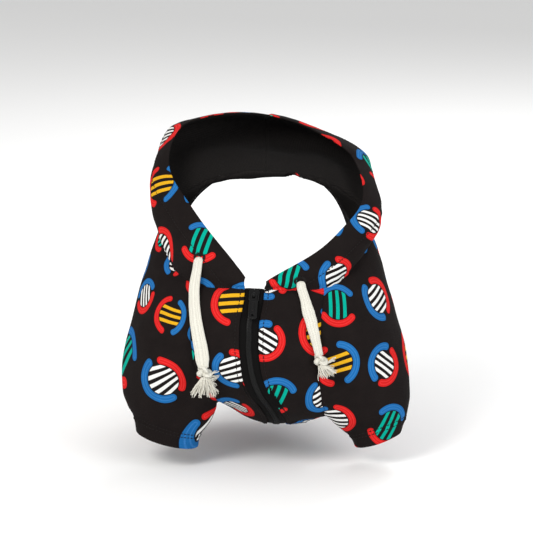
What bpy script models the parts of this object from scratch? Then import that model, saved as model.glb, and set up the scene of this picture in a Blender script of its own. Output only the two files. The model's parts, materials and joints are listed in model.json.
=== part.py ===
"""Dog hoodie: raglan sleeves, a front zip, a hood pushed back into a cowl, and two flat drawstrings.

Metres, +Z up. The wearer faces -Y, and the left pieces are at -X. The origin is inside the
back panel, over the withers, where the garment sits on its wearer.
"""
import math
from functools import partial

import bmesh
import bpy
from mathutils import Matrix, Vector

# Sizes of the whole garment
SLEEVE_SPAN = 0.245
STAND_HEIGHT = 0.227
BODY_LENGTH = 0.400
NECK_WIDTH = 0.176
CUFF_HEIGHT = 0.008
CUFF_SETBACK = 0.028
CUFF_SLANT = 0.013
LEFT_CUFF_DIAMETER = 0.053
RIGHT_CUFF_DIAMETER = 0.040
LEFT_CUFF_OUT = 0.084
RIGHT_CUFF_OUT = 0.095

# Hood
HOOD_FLARE = 0.030
HOOD_REACH = 0.080
HOOD_RISE = 0.046
HOOD_TILT = 0.015

# Cloth and the lines between panels
CLOTH = 0.0022
SEAM_GAP = 0.0004
UNDERARM_EASE = 0.050
UNDERARM_ROUNDS = 10
SAME_POINT = 1e-6

# Zip
ZIP_WIDTH = 0.015
TAPE_THICKNESS = 0.0010
CHAIN_WIDTH = 0.005
CHAIN_THICKNESS = 0.0020
SLIDER_DROP = 0.0080
SLIDER_LENGTH = 0.011
SLIDER_LIP = 0.002
SLIDER_CLEARANCE = 0.0006
SLIDER_PLATE = 0.0010
POST_WIDTH = 0.0018
POST_LENGTH = 0.0028
BRIDGE_WIDTH = 0.0016
BRIDGE_BAR = 0.0009
PULL_LENGTH = 0.022
PULL_WIDTH = 0.0075
PULL_NECK = 0.0050
PULL_THICKNESS = 0.0012
PULL_CROSSBAR = 0.0014
PULL_CLEARANCE = 0.00055
PULL_HOLE = 0.0024
PULL_HOLE_MARGIN = 0.0022
STOP_WIDTH = 0.0022
STOP_LENGTH = 0.0016
STOP_THICKNESS = 0.0010
STOP_GAP = 0.0003
BOTTOM_STOP_MARGIN = 0.0055
SHARP_EDGE = math.radians(40)

# Drawstrings
CORD_WIDTH = 0.010
CORD_THICKNESS = 0.0025
KNOT_WIDTH = 0.0125
KNOT_DEPTH = 0.0085
KNOT_GAP = 0.0004
CORD_POINT_SPACING = 0.004
LEFT_TUFT_WIDTH = 0.017
LEFT_TUFT_LENGTH = 0.022
RIGHT_TUFT_WIDTH = 0.012
RIGHT_TUFT_LENGTH = 0.014

# Half profile of a knot and its tuft. Each row of the knot is (out, down) as shares of half of
# KNOT_WIDTH, and each row of the tuft is (out, down) as shares of its width and length.
KNOT_PROFILE = [(0.30, 0.00), (0.80, 0.30), (1.00, 1.00), (0.80, 1.70), (0.55, 2.00)]
TUFT_PROFILE = [(0.36, 0.30), (0.50, 0.70), (0.42, 1.00)]
KNOT_STEPS = 14

# Where the withers seat lies, as shares (across, along, up) of the garment
SEAT = (0.0, 0.280, 0.985)

# Sections of the right half of the garment. Each row is (across, along, up), as shares of
# half of SLEEVE_SPAN, of BODY_LENGTH and of STAND_HEIGHT. The first row of YOKE is the
# neckline, whose across is a share of half of NECK_WIDTH, and the last is the underarm.
YOKE = {
    "front": [(0, -0.030, 0.651), (0, -0.068, 0.557), (0, -0.087, 0.447), (0, -0.085, 0.329),
              (0, -0.060, 0.220)],
    "raglan_front": [(0.61, -0.005, 0.650), (0.44, -0.035, 0.563), (0.44, -0.050, 0.460),
                     (0.42, -0.048, 0.342), (0.335, -0.015, 0.190)],
    "sleeve_front": [(0.83, 0.045, 0.686), (0.67, 0.013, 0.581), (0.72, -0.010, 0.463),
                     (0.735, -0.020, 0.341), (0.67, -0.020, 0.224)],
    "sleeve_outer": [(1.00, 0.125, 0.796), (0.83, 0.115, 0.619), (0.92, 0.100, 0.458), (0.985, 0.090, 0.308),
                     (0.99, 0.080, 0.213)],
    "sleeve_back": [(0.91, 0.195, 0.890), (0.75, 0.205, 0.740), (0.83, 0.200, 0.564), (0.875, 0.185, 0.405),
                    (0.855, 0.165, 0.273)],
    "raglan_back": [(0.635, 0.235, 0.947), (0.59, 0.247, 0.828), (0.65, 0.243, 0.670), (0.645, 0.220, 0.493),
                    (0.54, 0.185, 0.344)],
    "flank": [(0.50, 0.242, 0.963), (0.505, 0.270, 0.907), (0.61, 0.285, 0.819), (0.67, 0.295, 0.705),
              (0.690, 0.305, 0.564)],
    "shoulder": [(0.273, 0.249, 0.976), (0.295, 0.282, 0.969), (0.375, 0.315, 0.943), (0.455, 0.342, 0.907),
                 (0.52, 0.365, 0.853)],
    "spine": [(0, 0.250, 0.978), (0, 0.287, 0.991), (0, 0.325, 0.998), (0, 0.362, 1.000), (0, 0.400, 1.000)],
}

# The body behind the underarm, from there to the hem; the same shares.
BODY = {
    "front": [(0, 0.005, 0.119), (0, 0.125, 0.097), (0, 0.287, 0.132), (0, 0.550, 0.211)],
    "raglan_front": [(0.278, 0.030, 0.132), (0.31, 0.155, 0.123), (0.327, 0.312, 0.159),
                     (0.327, 0.570, 0.242)],
    "underarm_front": [(0.424, 0.120, 0.185), (0.506, 0.222, 0.203), (0.522, 0.362, 0.247),
                       (0.514, 0.600, 0.326)],
    "underarm_back": [(0.540, 0.210, 0.245), (0.620, 0.290, 0.290), (0.637, 0.415, 0.355),
                      (0.612, 0.640, 0.432)],
    "raglan_back": [(0.615, 0.275, 0.345), (0.675, 0.360, 0.410), (0.686, 0.485, 0.480),
                    (0.645, 0.700, 0.546)],
    "flank": [(0.700, 0.370, 0.590), (0.694, 0.450, 0.635), (0.669, 0.575, 0.655), (0.620, 0.765, 0.678)],
    "shoulder": [(0.506, 0.432, 0.855), (0.473, 0.525, 0.850), (0.457, 0.655, 0.838), (0.424, 0.845, 0.828)],
    "spine": [(0, 0.470, 0.994), (0, 0.565, 0.978), (0, 0.695, 0.952), (0, 0.900, 0.916)],
}

# The two points under the arm between the raglan seams; the same shares.
UNDERARM = {"underarm_front": (0.385, 0.055, 0.185), "underarm_back": (0.450, 0.125, 0.235)}

# The hood from the neckline to its rim. Each row is (out, back, up) from the neckline,
# as shares of HOOD_FLARE, HOOD_REACH and HOOD_RISE.
HOOD = {
    "front": [(0.02, -0.01, 0.05), (0.03, -0.01, 0.10), (0.03, -0.01, 0.15), (0.03, -0.01, 0.18)],
    "raglan_front": [(0.05, -0.01, 0.20), (0.07, -0.01, 0.40), (-0.03, 0.04, 0.60), (-0.27, 0.12, 0.77)],
    "sleeve_front": [(0.13, 0.00, 0.25), (0.17, 0.02, 0.53), (0.00, 0.08, 0.77), (-0.30, 0.15, 0.98)],
    "sleeve_outer": [(0.17, 0.02, 0.18), (0.30, 0.09, 0.44), (0.17, 0.12, 0.68), (-0.27, 0.08, 0.83)],
    "sleeve_back": [(0.20, 0.07, 0.17), (0.42, 0.19, 0.39), (0.42, 0.20, 0.61), (0.03, 0.02, 0.73)],
    "raglan_back": [(0.27, 0.11, 0.21), (0.93, 0.47, 0.41), (1.00, 0.45, 0.65), (0.53, 0.15, 0.79)],
    "flank": [(0.17, 0.11, 0.22), (0.73, 0.69, 0.44), (0.80, 0.66, 0.73), (0.47, 0.26, 0.86)],
    "shoulder": [(0.07, 0.10, 0.23), (0.53, 0.90, 0.42), (0.53, 0.90, 0.77), (0.27, 0.43, 0.94)],
    "spine": [(0, 0.08, 0.25), (0, 1.00, 0.43), (0, 1.02, 0.80), (0, 0.52, 1.00)],
}

# How the worn front leans. Each row is (up, sideways, tilt): a height as a share of
# STAND_HEIGHT, a shift as a share of half of SLEEVE_SPAN, and a drop for each metre of across.
LEAN = [(0.05, 0.000, 0.00), (0.13, 0.098, 0.16), (0.19, 0.049, 0.30), (0.28, -0.063, 0.16),
        (0.36, -0.098, 0.00), (0.43, -0.118, 0.00), (0.53, -0.114, 0.00), (0.62, -0.082, 0.04),
        (0.90, 0.000, 0.00)]
LEAN_WIDTH = 0.61
LEAN_DEPTH = 0.24

# Soft folds: (start, end, width, depth). The ends are shares as above, with across below
# zero on the left half. Width and depth are shares of STAND_HEIGHT, and a hollow has a
# depth below zero.
FOLDS = [
    ((-1.00, 0.02, 0.56), (-0.70, -0.03, 0.45), 0.045, 0.013),
    ((-0.98, 0.02, 0.46), (-0.66, -0.03, 0.37), 0.035, -0.010),
    ((-0.58, -0.03, 0.40), (-0.50, 0.02, 0.20), 0.035, 0.012),
    ((0.97, 0.02, 0.40), (0.45, -0.03, 0.33), 0.040, 0.014),
    ((0.95, 0.00, 0.33), (0.50, -0.04, 0.26), 0.030, -0.010),
    ((0.90, 0.00, 0.13), (0.60, 0.00, 0.10), 0.030, 0.010),
    ((0.28, -0.08, 0.58), (0.24, -0.07, 0.20), 0.035, -0.010),
    ((0.90, 0.20, 0.60), (0.50, 0.30, 0.55), 0.050, 0.014),
    ((-0.90, 0.20, 0.62), (-0.50, 0.30, 0.52), 0.050, 0.014),
    ((-0.60, 0.40, 0.45), (-0.50, 0.58, 0.30), 0.050, 0.012),
    ((0.60, 0.42, 0.45), (0.50, 0.60, 0.32), 0.050, 0.012),
    ((0.10, 0.50, 0.98), (0.60, 0.60, 0.70), 0.050, 0.010),
    ((-0.15, 0.62, 0.96), (-0.60, 0.68, 0.66), 0.050, -0.009),
]

# Rows and columns of cloth between the sections
CURVE_STEPS = 16
CHEST_COLUMNS = 4
SPAN_COLUMNS = 3
BACK_COLUMNS = 2
YOKE_ROWS = 10
BODY_ROWS = 14
SLEEVE_ROWS = 6
HOOD_ROWS = 6

# Routes of the drawstrings, chosen by hand, in metres from the origin: from the
# buttonhole in the hood to the knot, down the front of the chest.
LEFT_CORD_ROUTE = [(-0.0556, -0.1181, -0.0505), (-0.0575, -0.1202, -0.0615), (-0.0593, -0.1221, -0.0740),
                   (-0.0597, -0.1261, -0.0855), (-0.0587, -0.1326, -0.0975), (-0.0567, -0.1373, -0.1100),
                   (-0.0543, -0.1393, -0.1220), (-0.0529, -0.1397, -0.1325), (-0.0519, -0.1398, -0.1400)]
RIGHT_CORD_ROUTE = [(0.0284, -0.1237, -0.0700), (0.0300, -0.1252, -0.0770), (0.0326, -0.1288, -0.0860),
                    (0.0366, -0.1347, -0.0990), (0.0390, -0.1373, -0.1080), (0.0417, -0.1385, -0.1185),
                    (0.0442, -0.1387, -0.1300)]
LEFT_CORD_TILT = math.radians(67)
RIGHT_CORD_TILT = math.radians(-55)

# Columns of a yoke row, counted from the zip: the chain and the tape come first
ZIP_COLUMNS = 2
RAGLAN_FRONT = ZIP_COLUMNS + CHEST_COLUMNS
RAGLAN_BACK = RAGLAN_FRONT + 4 * SPAN_COLUMNS
# Column of a body row at the side seam
SIDE_SEAM = RAGLAN_FRONT + 2 * SPAN_COLUMNS

HALF_SPAN = SLEEVE_SPAN / 2
ZIP_HALF = ZIP_WIDTH / 2
CHAIN_HALF = CHAIN_WIDTH / 2
UP = Vector((0, 0, 1))
SIDES = {"left": -1, "right": 1}


def place(shares, half_width=HALF_SPAN):
    """The point at these shares of the garment, before its seat is moved to the origin."""
    across, along, up = shares
    return Vector((across * half_width, along * BODY_LENGTH, up * STAND_HEIGHT))


SEAT_POINT = place(SEAT)


def smooth_curve(points, steps=CURVE_STEPS):
    """A dense centripetal curve through the inner points; the first and last only guide it."""
    curve = []
    for before, start, end, after in zip(points, points[1:], points[2:], points[3:]):
        run_in = max((start - before).length, SAME_POINT) ** 0.5
        run = max((end - start).length, SAME_POINT) ** 0.5
        run_out = max((after - end).length, SAME_POINT) ** 0.5
        leave = (start - before) / run_in - (end - before) / (run_in + run) + (end - start) / run
        arrive = (end - start) / run - (after - start) / (run + run_out) + (after - end) / run_out
        for step in range(steps):
            t = step / steps
            curve.append((2 * t**3 - 3 * t**2 + 1) * start + (t**3 - 2 * t**2 + t) * run * leave
                         + (3 * t**2 - 2 * t**3) * end + (t**3 - t**2) * run * arrive)
    curve.append(points[-2].copy())
    return curve


def guided(points):
    """The points with a guide beyond each end, so that a curve runs through all of them."""
    return [2 * points[0] - points[1]] + points + [2 * points[-1] - points[-2]]


def mirrored_guides(points):
    """The points with a guide mirrored in the middle plane beyond each end."""
    return [mirrored(points[1], -1)] + points + [mirrored(points[-2], -1)]


def mirrored(point, side):
    return Vector((side * point.x, point.y, point.z))


def at_distances(curve, distances):
    """The points of a dense curve at these distances along it."""
    found = []
    walked = 0.0
    wanted = list(distances)
    for start, end in zip(curve, curve[1:]):
        step = (end - start).length
        while wanted and wanted[0] <= walked + step + SAME_POINT:
            found.append(start.lerp(end, min(1.0, (wanted.pop(0) - walked) / max(step, SAME_POINT))))
        walked += step
    return found + [curve[-1].copy() for _ in wanted]


def curve_length(curve):
    return sum((end - start).length for start, end in zip(curve, curve[1:]))


def even(curve, count):
    """A dense curve cut into this many equal lengths."""
    length = curve_length(curve)
    return at_distances(curve, [length * i / count for i in range(count + 1)])


def zip_and_chest(curve):
    """The front span, cut at the chain's edge, at the tape's edge and evenly across the chest."""
    rest = curve_length(curve) - ZIP_HALF
    chest = [ZIP_HALF + rest * i / CHEST_COLUMNS for i in range(CHEST_COLUMNS + 1)]
    return at_distances(curve, [0.0, CHAIN_HALF] + chest)


def spans(curve, counts):
    """A dense curve through sections, cut evenly within each span between two sections."""
    cut = []
    for index, count in enumerate(counts):
        span = curve[index * CURVE_STEPS:(index + 1) * CURVE_STEPS + 1]
        cut += (zip_and_chest(span) if count is None else even(span, count))[:-1]
    return cut + [curve[-1]]


def station_rows(station):
    """One section line down the garment: its yoke rows, then its body rows."""
    neckline = place(YOKE[station][0], NECK_WIDTH / 2)
    yoke = [neckline] + [place(row) for row in YOKE[station][1:]]
    below = [place(row) for row in BODY.get(station, [])]
    curve = smooth_curve(guided(yoke + below))
    split = (len(yoke) - 1) * CURVE_STEPS
    rows = even(curve[:split + 1], YOKE_ROWS)
    return rows, even(curve[split:], BODY_ROWS) if below else []


def underarm_rows(station):
    points = [place(UNDERARM[station])] + [place(row) for row in BODY[station]]
    return even(smooth_curve(guided(points)), BODY_ROWS)


def half_garment():
    """The right half of the cloth as grids of points: yoke, body and the underarm line."""
    columns = {station: station_rows(station) for station in YOKE}
    counts = [None] + [SPAN_COLUMNS] * 4 + [BACK_COLUMNS] * 3
    yoke = [spans(smooth_curve(mirrored_guides([columns[s][0][row] for s in YOKE])), counts)
            for row in range(YOKE_ROWS + 1)]

    underarm = {station: underarm_rows(station) for station in UNDERARM}
    sections = [underarm[s] if s in UNDERARM else columns[s][1] for s in BODY]
    counts = [None] + [SPAN_COLUMNS] * 3 + [BACK_COLUMNS] * 3
    body = [spans(smooth_curve(mirrored_guides([section[row] for section in sections])), counts)
            for row in range(BODY_ROWS + 1)]
    pit = [yoke[-1][RAGLAN_FRONT]] + [section[0] for section in sections[2:4]] + [yoke[-1][RAGLAN_BACK]]
    line = spans(smooth_curve(guided(pit)), [SPAN_COLUMNS] * 3)
    body[0] = yoke[-1][:RAGLAN_FRONT] + line + yoke[-1][RAGLAN_BACK + 1:]
    return yoke, body, line


def sleeve_grid(yoke, line, cuff_out, cuff_radius):
    """A sleeve from its upper ring down to the cuff, which is a tilted circle."""
    ring = yoke[-1][RAGLAN_FRONT:RAGLAN_BACK + 1] + line[-2:0:-1]
    above = yoke[-2][RAGLAN_FRONT:RAGLAN_BACK + 1] + [point + UP * CUFF_HEIGHT for point in line[-2:0:-1]]
    outer = 2 * SPAN_COLUMNS
    ring_length = curve_length(ring + ring[:1])
    grid = [[] for _ in range(SLEEVE_ROWS + 1)]
    walked = -curve_length(ring[:outer + 1])
    for index, point in enumerate(ring):
        angle = math.tau * walked / ring_length
        out, back = math.cos(angle), math.sin(angle)
        end = Vector((cuff_out + cuff_radius * out, CUFF_SETBACK + cuff_radius * back,
                      CUFF_HEIGHT + CUFF_SLANT / 2 * out))
        leave = (point - above[index]).normalized() * (end - point).length
        arrive = -UP * (end - point).length
        for row in range(SLEEVE_ROWS + 1):
            t = row / SLEEVE_ROWS
            grid[row].append((2 * t**3 - 3 * t**2 + 1) * point + (t**3 - 2 * t**2 + t) * leave
                             + (3 * t**2 - 2 * t**3) * end + (t**3 - t**2) * arrive)
        walked += (ring[(index + 1) % len(ring)] - point).length
    return grid


def hood_grid(yoke):
    """One half of the hood, from the neckline up and back to its rim."""
    neckline = yoke[0][ZIP_COLUMNS:]
    corners = [0, CHEST_COLUMNS]
    corners += [corners[-1] + SPAN_COLUMNS * i for i in range(1, 5)]
    corners += [corners[-1] + BACK_COLUMNS * i for i in range(1, 4)]
    columns = []
    for station, corner in zip(HOOD, corners):
        foot = neckline[corner]
        rows = [foot] + [foot + Vector((out * HOOD_FLARE, back * HOOD_REACH, up * HOOD_RISE))
                         for out, back, up in HOOD[station]]
        columns.append(even(smooth_curve(guided(rows)), HOOD_ROWS))
    counts = [CHEST_COLUMNS] + [SPAN_COLUMNS] * 4 + [BACK_COLUMNS] * 3
    grid = [neckline]
    for row in range(1, HOOD_ROWS + 1):
        points = [column[row] for column in columns]
        ends = guided(points)
        ends[-1] = mirrored(points[-2], -1)
        grid.append(spans(smooth_curve(ends), counts))
    return grid


def eased(rows, place_on):
    """The columns of a table at a place along its first column, eased from row to row."""
    if place_on <= rows[0][0]:
        return rows[0][1:]
    for low, high in zip(rows, rows[1:]):
        if place_on <= high[0]:
            t = (place_on - low[0]) / (high[0] - low[0])
            t = t * t * (3 - 2 * t)
            return tuple(a + (b - a) * t for a, b in zip(low[1:], high[1:]))
    return rows[-1][1:]


def leaned(point):
    """The point with the lean of the worn front, and from the withers seat as origin."""
    sideways, tilt = eased(LEAN, point.z / STAND_HEIGHT)
    near = math.exp(-(point.x / (LEAN_WIDTH * HALF_SPAN)) ** 2)
    behind = max(0.0, point.y / (LEAN_DEPTH * BODY_LENGTH))
    near *= math.exp(-behind ** 2)
    return point + Vector((sideways * HALF_SPAN * near, 0, -tilt * point.x * near)) - SEAT_POINT


def tilted(point, share):
    """A point of the hood, whose rim stands higher at the left than at the right."""
    return point - UP * HOOD_TILT * share * point.x / (NECK_WIDTH / 2)


class Skin:
    """The middle surface of all the cloth, with the panel that each face belongs to."""

    def __init__(self):
        self.bm = bmesh.new()
        self.layer = self.bm.faces.layers.int.new("panel")
        self.names = []

    def panel(self, name):
        if name not in self.names:
            self.names.append(name)
        return self.names.index(name)

    def add_grid(self, grid, panel_of, closed=False):
        rows = [[self.bm.verts.new(point) for point in row] for row in grid]
        width = len(grid[0]) if closed else len(grid[0]) - 1
        for row in range(len(rows) - 1):
            for column in range(width):
                beside = (column + 1) % len(grid[0])
                face = self.bm.faces.new((rows[row][column], rows[row][beside],
                                          rows[row + 1][beside], rows[row + 1][column]))
                face[self.layer] = self.panel(panel_of(row, column))

    def weld(self):
        bmesh.ops.remove_doubles(self.bm, verts=self.bm.verts, dist=SAME_POINT)
        bmesh.ops.recalc_face_normals(self.bm, faces=self.bm.faces)
        lowest = min(self.bm.faces, key=lambda face: abs(face.calc_center_median().x)
                     + abs(face.calc_center_median().y))
        if lowest.normal.z < 0:
            bmesh.ops.reverse_faces(self.bm, faces=self.bm.faces)
        self.bm.normal_update()

    def ease(self, line, reach, rounds):
        """Relaxes the cloth near a line, most of all on the line, so that its crease is soft."""
        apart = {vert: min((vert.co - point).length for point in line) for vert in self.bm.verts
                 if not vert.is_boundary}
        for done in range(rounds):
            near = [vert for vert in apart if apart[vert] < reach * (1 - done / rounds)]
            bmesh.ops.smooth_vert(self.bm, verts=near, factor=0.5, use_axis_x=True, use_axis_y=True,
                                  use_axis_z=True)
        self.bm.normal_update()

    def fold(self):
        """Lifts or sinks the cloth along each soft fold."""
        moves = {}
        for start, end, width, depth in FOLDS:
            first, last = place(start) - SEAT_POINT, place(end) - SEAT_POINT
            along = last - first
            reach = width * STAND_HEIGHT
            for vert in self.bm.verts:
                share = min(1.0, max(0.0, (vert.co - first).dot(along) / along.length_squared))
                distance = (vert.co - first - share * along).length
                lift = depth * STAND_HEIGHT * math.exp(-(distance / reach) ** 2)
                moves[vert] = moves.get(vert, 0.0) + lift
        lifted = [(vert, vert.normal * lift) for vert, lift in moves.items()]
        for vert, move in lifted:
            vert.co += move
        self.bm.normal_update()

    def split(self):
        """Splits each face along its shorter diagonal, which keeps slanted rows smooth."""
        bmesh.ops.triangulate(self.bm, faces=self.bm.faces, quad_method="SHORT_EDGE", ngon_method="BEAUTY")
        self.bm.verts.index_update()
        self.bm.normal_update()


def sheet_mesh(skin, name, thickness):
    """A closed wall of this thickness over one panel, set back from its neighbours."""
    panel = skin.panel(name)
    faces = [face for face in skin.bm.faces if face[skin.layer] == panel]
    members = set(faces)
    inward = {}
    rim = []
    for face in faces:
        for loop in face.loops:
            if any(other in members for other in loop.edge.link_faces if other is not face):
                continue
            start, end = loop.vert, loop.link_loop_next.vert
            rim.append((start, end))
            toward = face.normal.cross(end.co - start.co).normalized()
            inward.setdefault(start, []).append(toward)
            inward.setdefault(end, []).append(toward)
    mesh = bmesh.new()
    outer, inner = {}, {}
    for vert in {vert for face in faces for vert in face.verts}:
        point = vert.co.copy()
        if vert in inward:
            mean = sum(inward[vert], Vector())
            point += SEAM_GAP / 2 * mean * len(inward[vert]) / max(mean.length_squared, 0.5)
        outer[vert] = mesh.verts.new(point + vert.normal * thickness / 2)
        inner[vert] = mesh.verts.new(point - vert.normal * thickness / 2)
    for face in faces:
        mesh.faces.new([outer[vert] for vert in face.verts])
        mesh.faces.new([inner[vert] for vert in reversed(face.verts)])
    for start, end in rim:
        # Both panels at a seam split its narrow face the same way, so that the gap stays even
        if start.index < end.index:
            mesh.faces.new((outer[end], outer[start], inner[end]))
            mesh.faces.new((outer[start], inner[start], inner[end]))
        else:
            mesh.faces.new((outer[end], outer[start], inner[start]))
            mesh.faces.new((outer[end], inner[start], inner[end]))
    return mesh


def material(name, colour, roughness, metallic=0.0):
    made = bpy.data.materials.new(name)
    made.use_nodes = True
    shader = made.node_tree.nodes["Principled BSDF"]
    shader.inputs["Base Color"].default_value = (*colour, 1.0)
    shader.inputs["Roughness"].default_value = roughness
    shader.inputs["Metallic"].default_value = metallic
    return made


def new_object(name, mesh, finish, frame=None):
    """An object from a bmesh, in the local axes of a frame where one is given."""
    data = bpy.data.meshes.new(name)
    mesh.to_mesh(data)
    mesh.free()
    data.materials.append(finish)
    made = bpy.data.objects.new(name, data)
    if frame is not None:
        made.matrix_world = frame
    bpy.context.scene.collection.objects.link(made)
    return made


def box(width, depth, height, centre):
    """A box mesh: width across, depth through and height along the zip."""
    mesh = bmesh.new()
    bmesh.ops.create_cube(mesh, size=1.0)
    bmesh.ops.scale(mesh, vec=(width, depth, height), verts=mesh.verts)
    bmesh.ops.translate(mesh, vec=centre, verts=mesh.verts)
    return mesh


def soften(mesh, width):
    """Bevels the sharp edges of a small mesh."""
    sharp = [edge for edge in mesh.edges if edge.calc_face_angle(0) > SHARP_EDGE]
    bmesh.ops.bevel(mesh, geom=sharp, offset=width, offset_type="OFFSET", segments=2, profile=0.5,
                    affect="EDGES", material=-1)
    return mesh


def guide_object(name, mesh, finish, frame):
    """A helper that another object is joined with or cut by."""
    made = new_object(name, mesh, finish, frame)
    made.hide_render = True
    made.display_type = "WIRE"
    return made


def combine(target, other, operation):
    change = target.modifiers.new(other.name, "BOOLEAN")
    change.operation = operation
    change.object = other
    change.solver = "EXACT"


def ease_edges(target, width):
    """Bevels the sharp edges of a finished piece."""
    bevel = target.modifiers.new("eased_edges", "BEVEL")
    bevel.width = width
    bevel.segments = 2
    bevel.limit_method = "ANGLE"
    bevel.angle_limit = SHARP_EDGE


def zip_frame(centre_line, tape_edges, distance):
    """The axes of the zip at a distance down it: X across, Y into the garment, Z up the zip."""
    point = at_distances(centre_line, [distance])[0]
    above, below = at_distances(centre_line, [max(0.0, distance - SLIDER_LENGTH / 2),
                                              distance + SLIDER_LENGTH / 2])
    up = (above - below).normalized()
    walked = 0.0
    row = 0
    while row + 2 < len(centre_line) and walked < distance:
        walked += (centre_line[row + 1] - centre_line[row]).length
        row += 1
    across = (tape_edges[1][row] - tape_edges[0][row]).normalized()
    inward = up.cross(across).normalized()
    across = inward.cross(up)
    turn = Matrix((across, inward, up)).transposed().to_4x4()
    return Matrix.Translation(point) @ turn


def build_slider(frame, finish):
    """Two plates round the chain, a post between them and a bridge for the pull."""
    width = CHAIN_WIDTH + 2 * SLIDER_LIP
    inside = CHAIN_THICKNESS / 2 + SLIDER_CLEARANCE
    plate = inside + SLIDER_PLATE / 2
    top = soften(box(width, SLIDER_PLATE, SLIDER_LENGTH, (0, -plate, 0)), SLIDER_PLATE / 4)
    slider = new_object("zip_slider", top, finish, frame)
    bottom = soften(box(width, SLIDER_PLATE, SLIDER_LENGTH, (0, plate, 0)), SLIDER_PLATE / 4)
    under = guide_object("slider_under_plate", bottom, finish, frame)
    post_centre = SLIDER_LENGTH / 2 - POST_LENGTH
    post = guide_object("slider_post", box(POST_WIDTH, 2 * plate, POST_LENGTH, (0, 0, post_centre)),
                        finish, frame)
    room = PULL_CROSSBAR / 2 + PULL_CLEARANCE
    height = 2 * (PULL_THICKNESS / 2 + PULL_CLEARANCE) + BRIDGE_BAR
    base = -(inside + SLIDER_PLATE)
    arch = box(BRIDGE_WIDTH, height + SLIDER_PLATE / 2, 2 * (room + BRIDGE_BAR),
               (0, base + SLIDER_PLATE / 4 - height / 2, 0))
    bridge = guide_object("slider_bridge", soften(arch, BRIDGE_BAR / 5), finish, frame)
    eye_height = height - BRIDGE_BAR
    eye_centre = (0, base - eye_height / 2, 0)
    eye = guide_object("slider_eye", box(2 * BRIDGE_WIDTH, eye_height, 2 * room, eye_centre), finish, frame)
    combine(slider, under, "UNION")
    combine(slider, post, "UNION")
    combine(slider, bridge, "UNION")
    combine(slider, eye, "DIFFERENCE")
    return Vector(eye_centre)


def build_pull(frame, axis, finish):
    """The pull tab, hung by its crossbar in the bridge. Its origin is on the hinge axis."""
    hinge = frame @ Matrix.Translation(axis)
    reach = math.hypot(PULL_CROSSBAR / 2 + PULL_CLEARANCE + BRIDGE_BAR,
                       PULL_THICKNESS / 2 + PULL_CLEARANCE + BRIDGE_BAR) + PULL_CLEARANCE
    window = BRIDGE_WIDTH + 2 * PULL_CLEARANCE
    shoulder = reach + PULL_CROSSBAR
    corner = PULL_WIDTH / 4
    half_neck, half = PULL_NECK / 2, PULL_WIDTH / 2
    outline = [(half_neck, PULL_CROSSBAR / 2), (half_neck, -reach), (half, -shoulder - corner),
               (half, corner - PULL_LENGTH), (half - corner, -PULL_LENGTH)]
    outline += [(-x, z) for x, z in reversed(outline)]
    mesh = bmesh.new()
    face = mesh.faces.new([mesh.verts.new((x, -PULL_THICKNESS / 2, z)) for x, z in outline])
    grown = bmesh.ops.extrude_face_region(mesh, geom=[face])
    bmesh.ops.translate(mesh, vec=(0, PULL_THICKNESS, 0),
                        verts=[item for item in grown["geom"] if isinstance(item, bmesh.types.BMVert)])
    bmesh.ops.recalc_face_normals(mesh, faces=mesh.faces)
    pull = new_object("zip_pull", mesh, finish, hinge)
    ease_edges(pull, PULL_THICKNESS / 5)
    opening = reach - PULL_CROSSBAR / 2
    eye = guide_object("pull_eye", box(window, 2 * PULL_THICKNESS, opening,
                                       (0, 0, -PULL_CROSSBAR / 2 - opening / 2)), finish, hinge)
    combine(pull, eye, "DIFFERENCE")
    ring = bmesh.new()
    bmesh.ops.create_cone(ring, cap_ends=True, segments=16, radius1=PULL_HOLE / 2, radius2=PULL_HOLE / 2,
                          depth=2 * PULL_THICKNESS)
    bmesh.ops.rotate(ring, cent=(0, 0, 0), matrix=Matrix.Rotation(math.pi / 2, 3, "X"), verts=ring.verts)
    bmesh.ops.translate(ring, vec=(0, 0, PULL_HOLE / 2 + PULL_HOLE_MARGIN - PULL_LENGTH), verts=ring.verts)
    combine(pull, guide_object("pull_hole", ring, finish, hinge), "DIFFERENCE")


def build_stops(centre_line, tape_edges, finish):
    """A metal stop on each tape above the slider, and one across the chain at the hem."""
    lift = TAPE_THICKNESS / 2 + STOP_GAP + STOP_THICKNESS / 2
    top = zip_frame(centre_line, tape_edges, STOP_LENGTH)
    for name, side in SIDES.items():
        centre = (side * (CHAIN_HALF + STOP_WIDTH / 2 + SEAM_GAP), -lift, 0)
        stop = new_object("zip_top_stop_" + name, box(STOP_WIDTH, STOP_THICKNESS, STOP_LENGTH, centre),
                          finish, top)
        ease_edges(stop, STOP_THICKNESS / 4)
    end = curve_length(centre_line) - BOTTOM_STOP_MARGIN
    bottom = zip_frame(centre_line, tape_edges, end)
    lift = CHAIN_THICKNESS / 2 + STOP_GAP + STOP_THICKNESS / 2
    stop = new_object("zip_bottom_stop", box(CHAIN_WIDTH, STOP_THICKNESS, 2 * STOP_LENGTH, (0, -lift, 0)),
                      finish, bottom)
    ease_edges(stop, STOP_THICKNESS / 4)


def build_cord(name, route, tilt, finish):
    """A flat cord as a ribbon with round edges along a smooth curve through its route."""
    curve = smooth_curve(guided([Vector(point) for point in route]))
    points = even(curve, round(curve_length(curve) / CORD_POINT_SPACING))
    data = bpy.data.curves.new(name, "CURVE")
    data.dimensions = "3D"
    data.twist_mode = "MINIMUM"
    data.bevel_depth = CORD_THICKNESS / 2
    data.extrude = (CORD_WIDTH - CORD_THICKNESS) / 2
    data.bevel_resolution = 2
    data.render_resolution_u = 0
    data.use_fill_caps = True
    spline = data.splines.new("POLY")
    spline.points.add(len(points) - 1)
    for slot, point in zip(spline.points, points):
        slot.co = (*point, 1.0)
        slot.tilt = tilt
    data.materials.append(finish)
    made = bpy.data.objects.new(name, data)
    bpy.context.scene.collection.objects.link(made)
    return points


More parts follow.
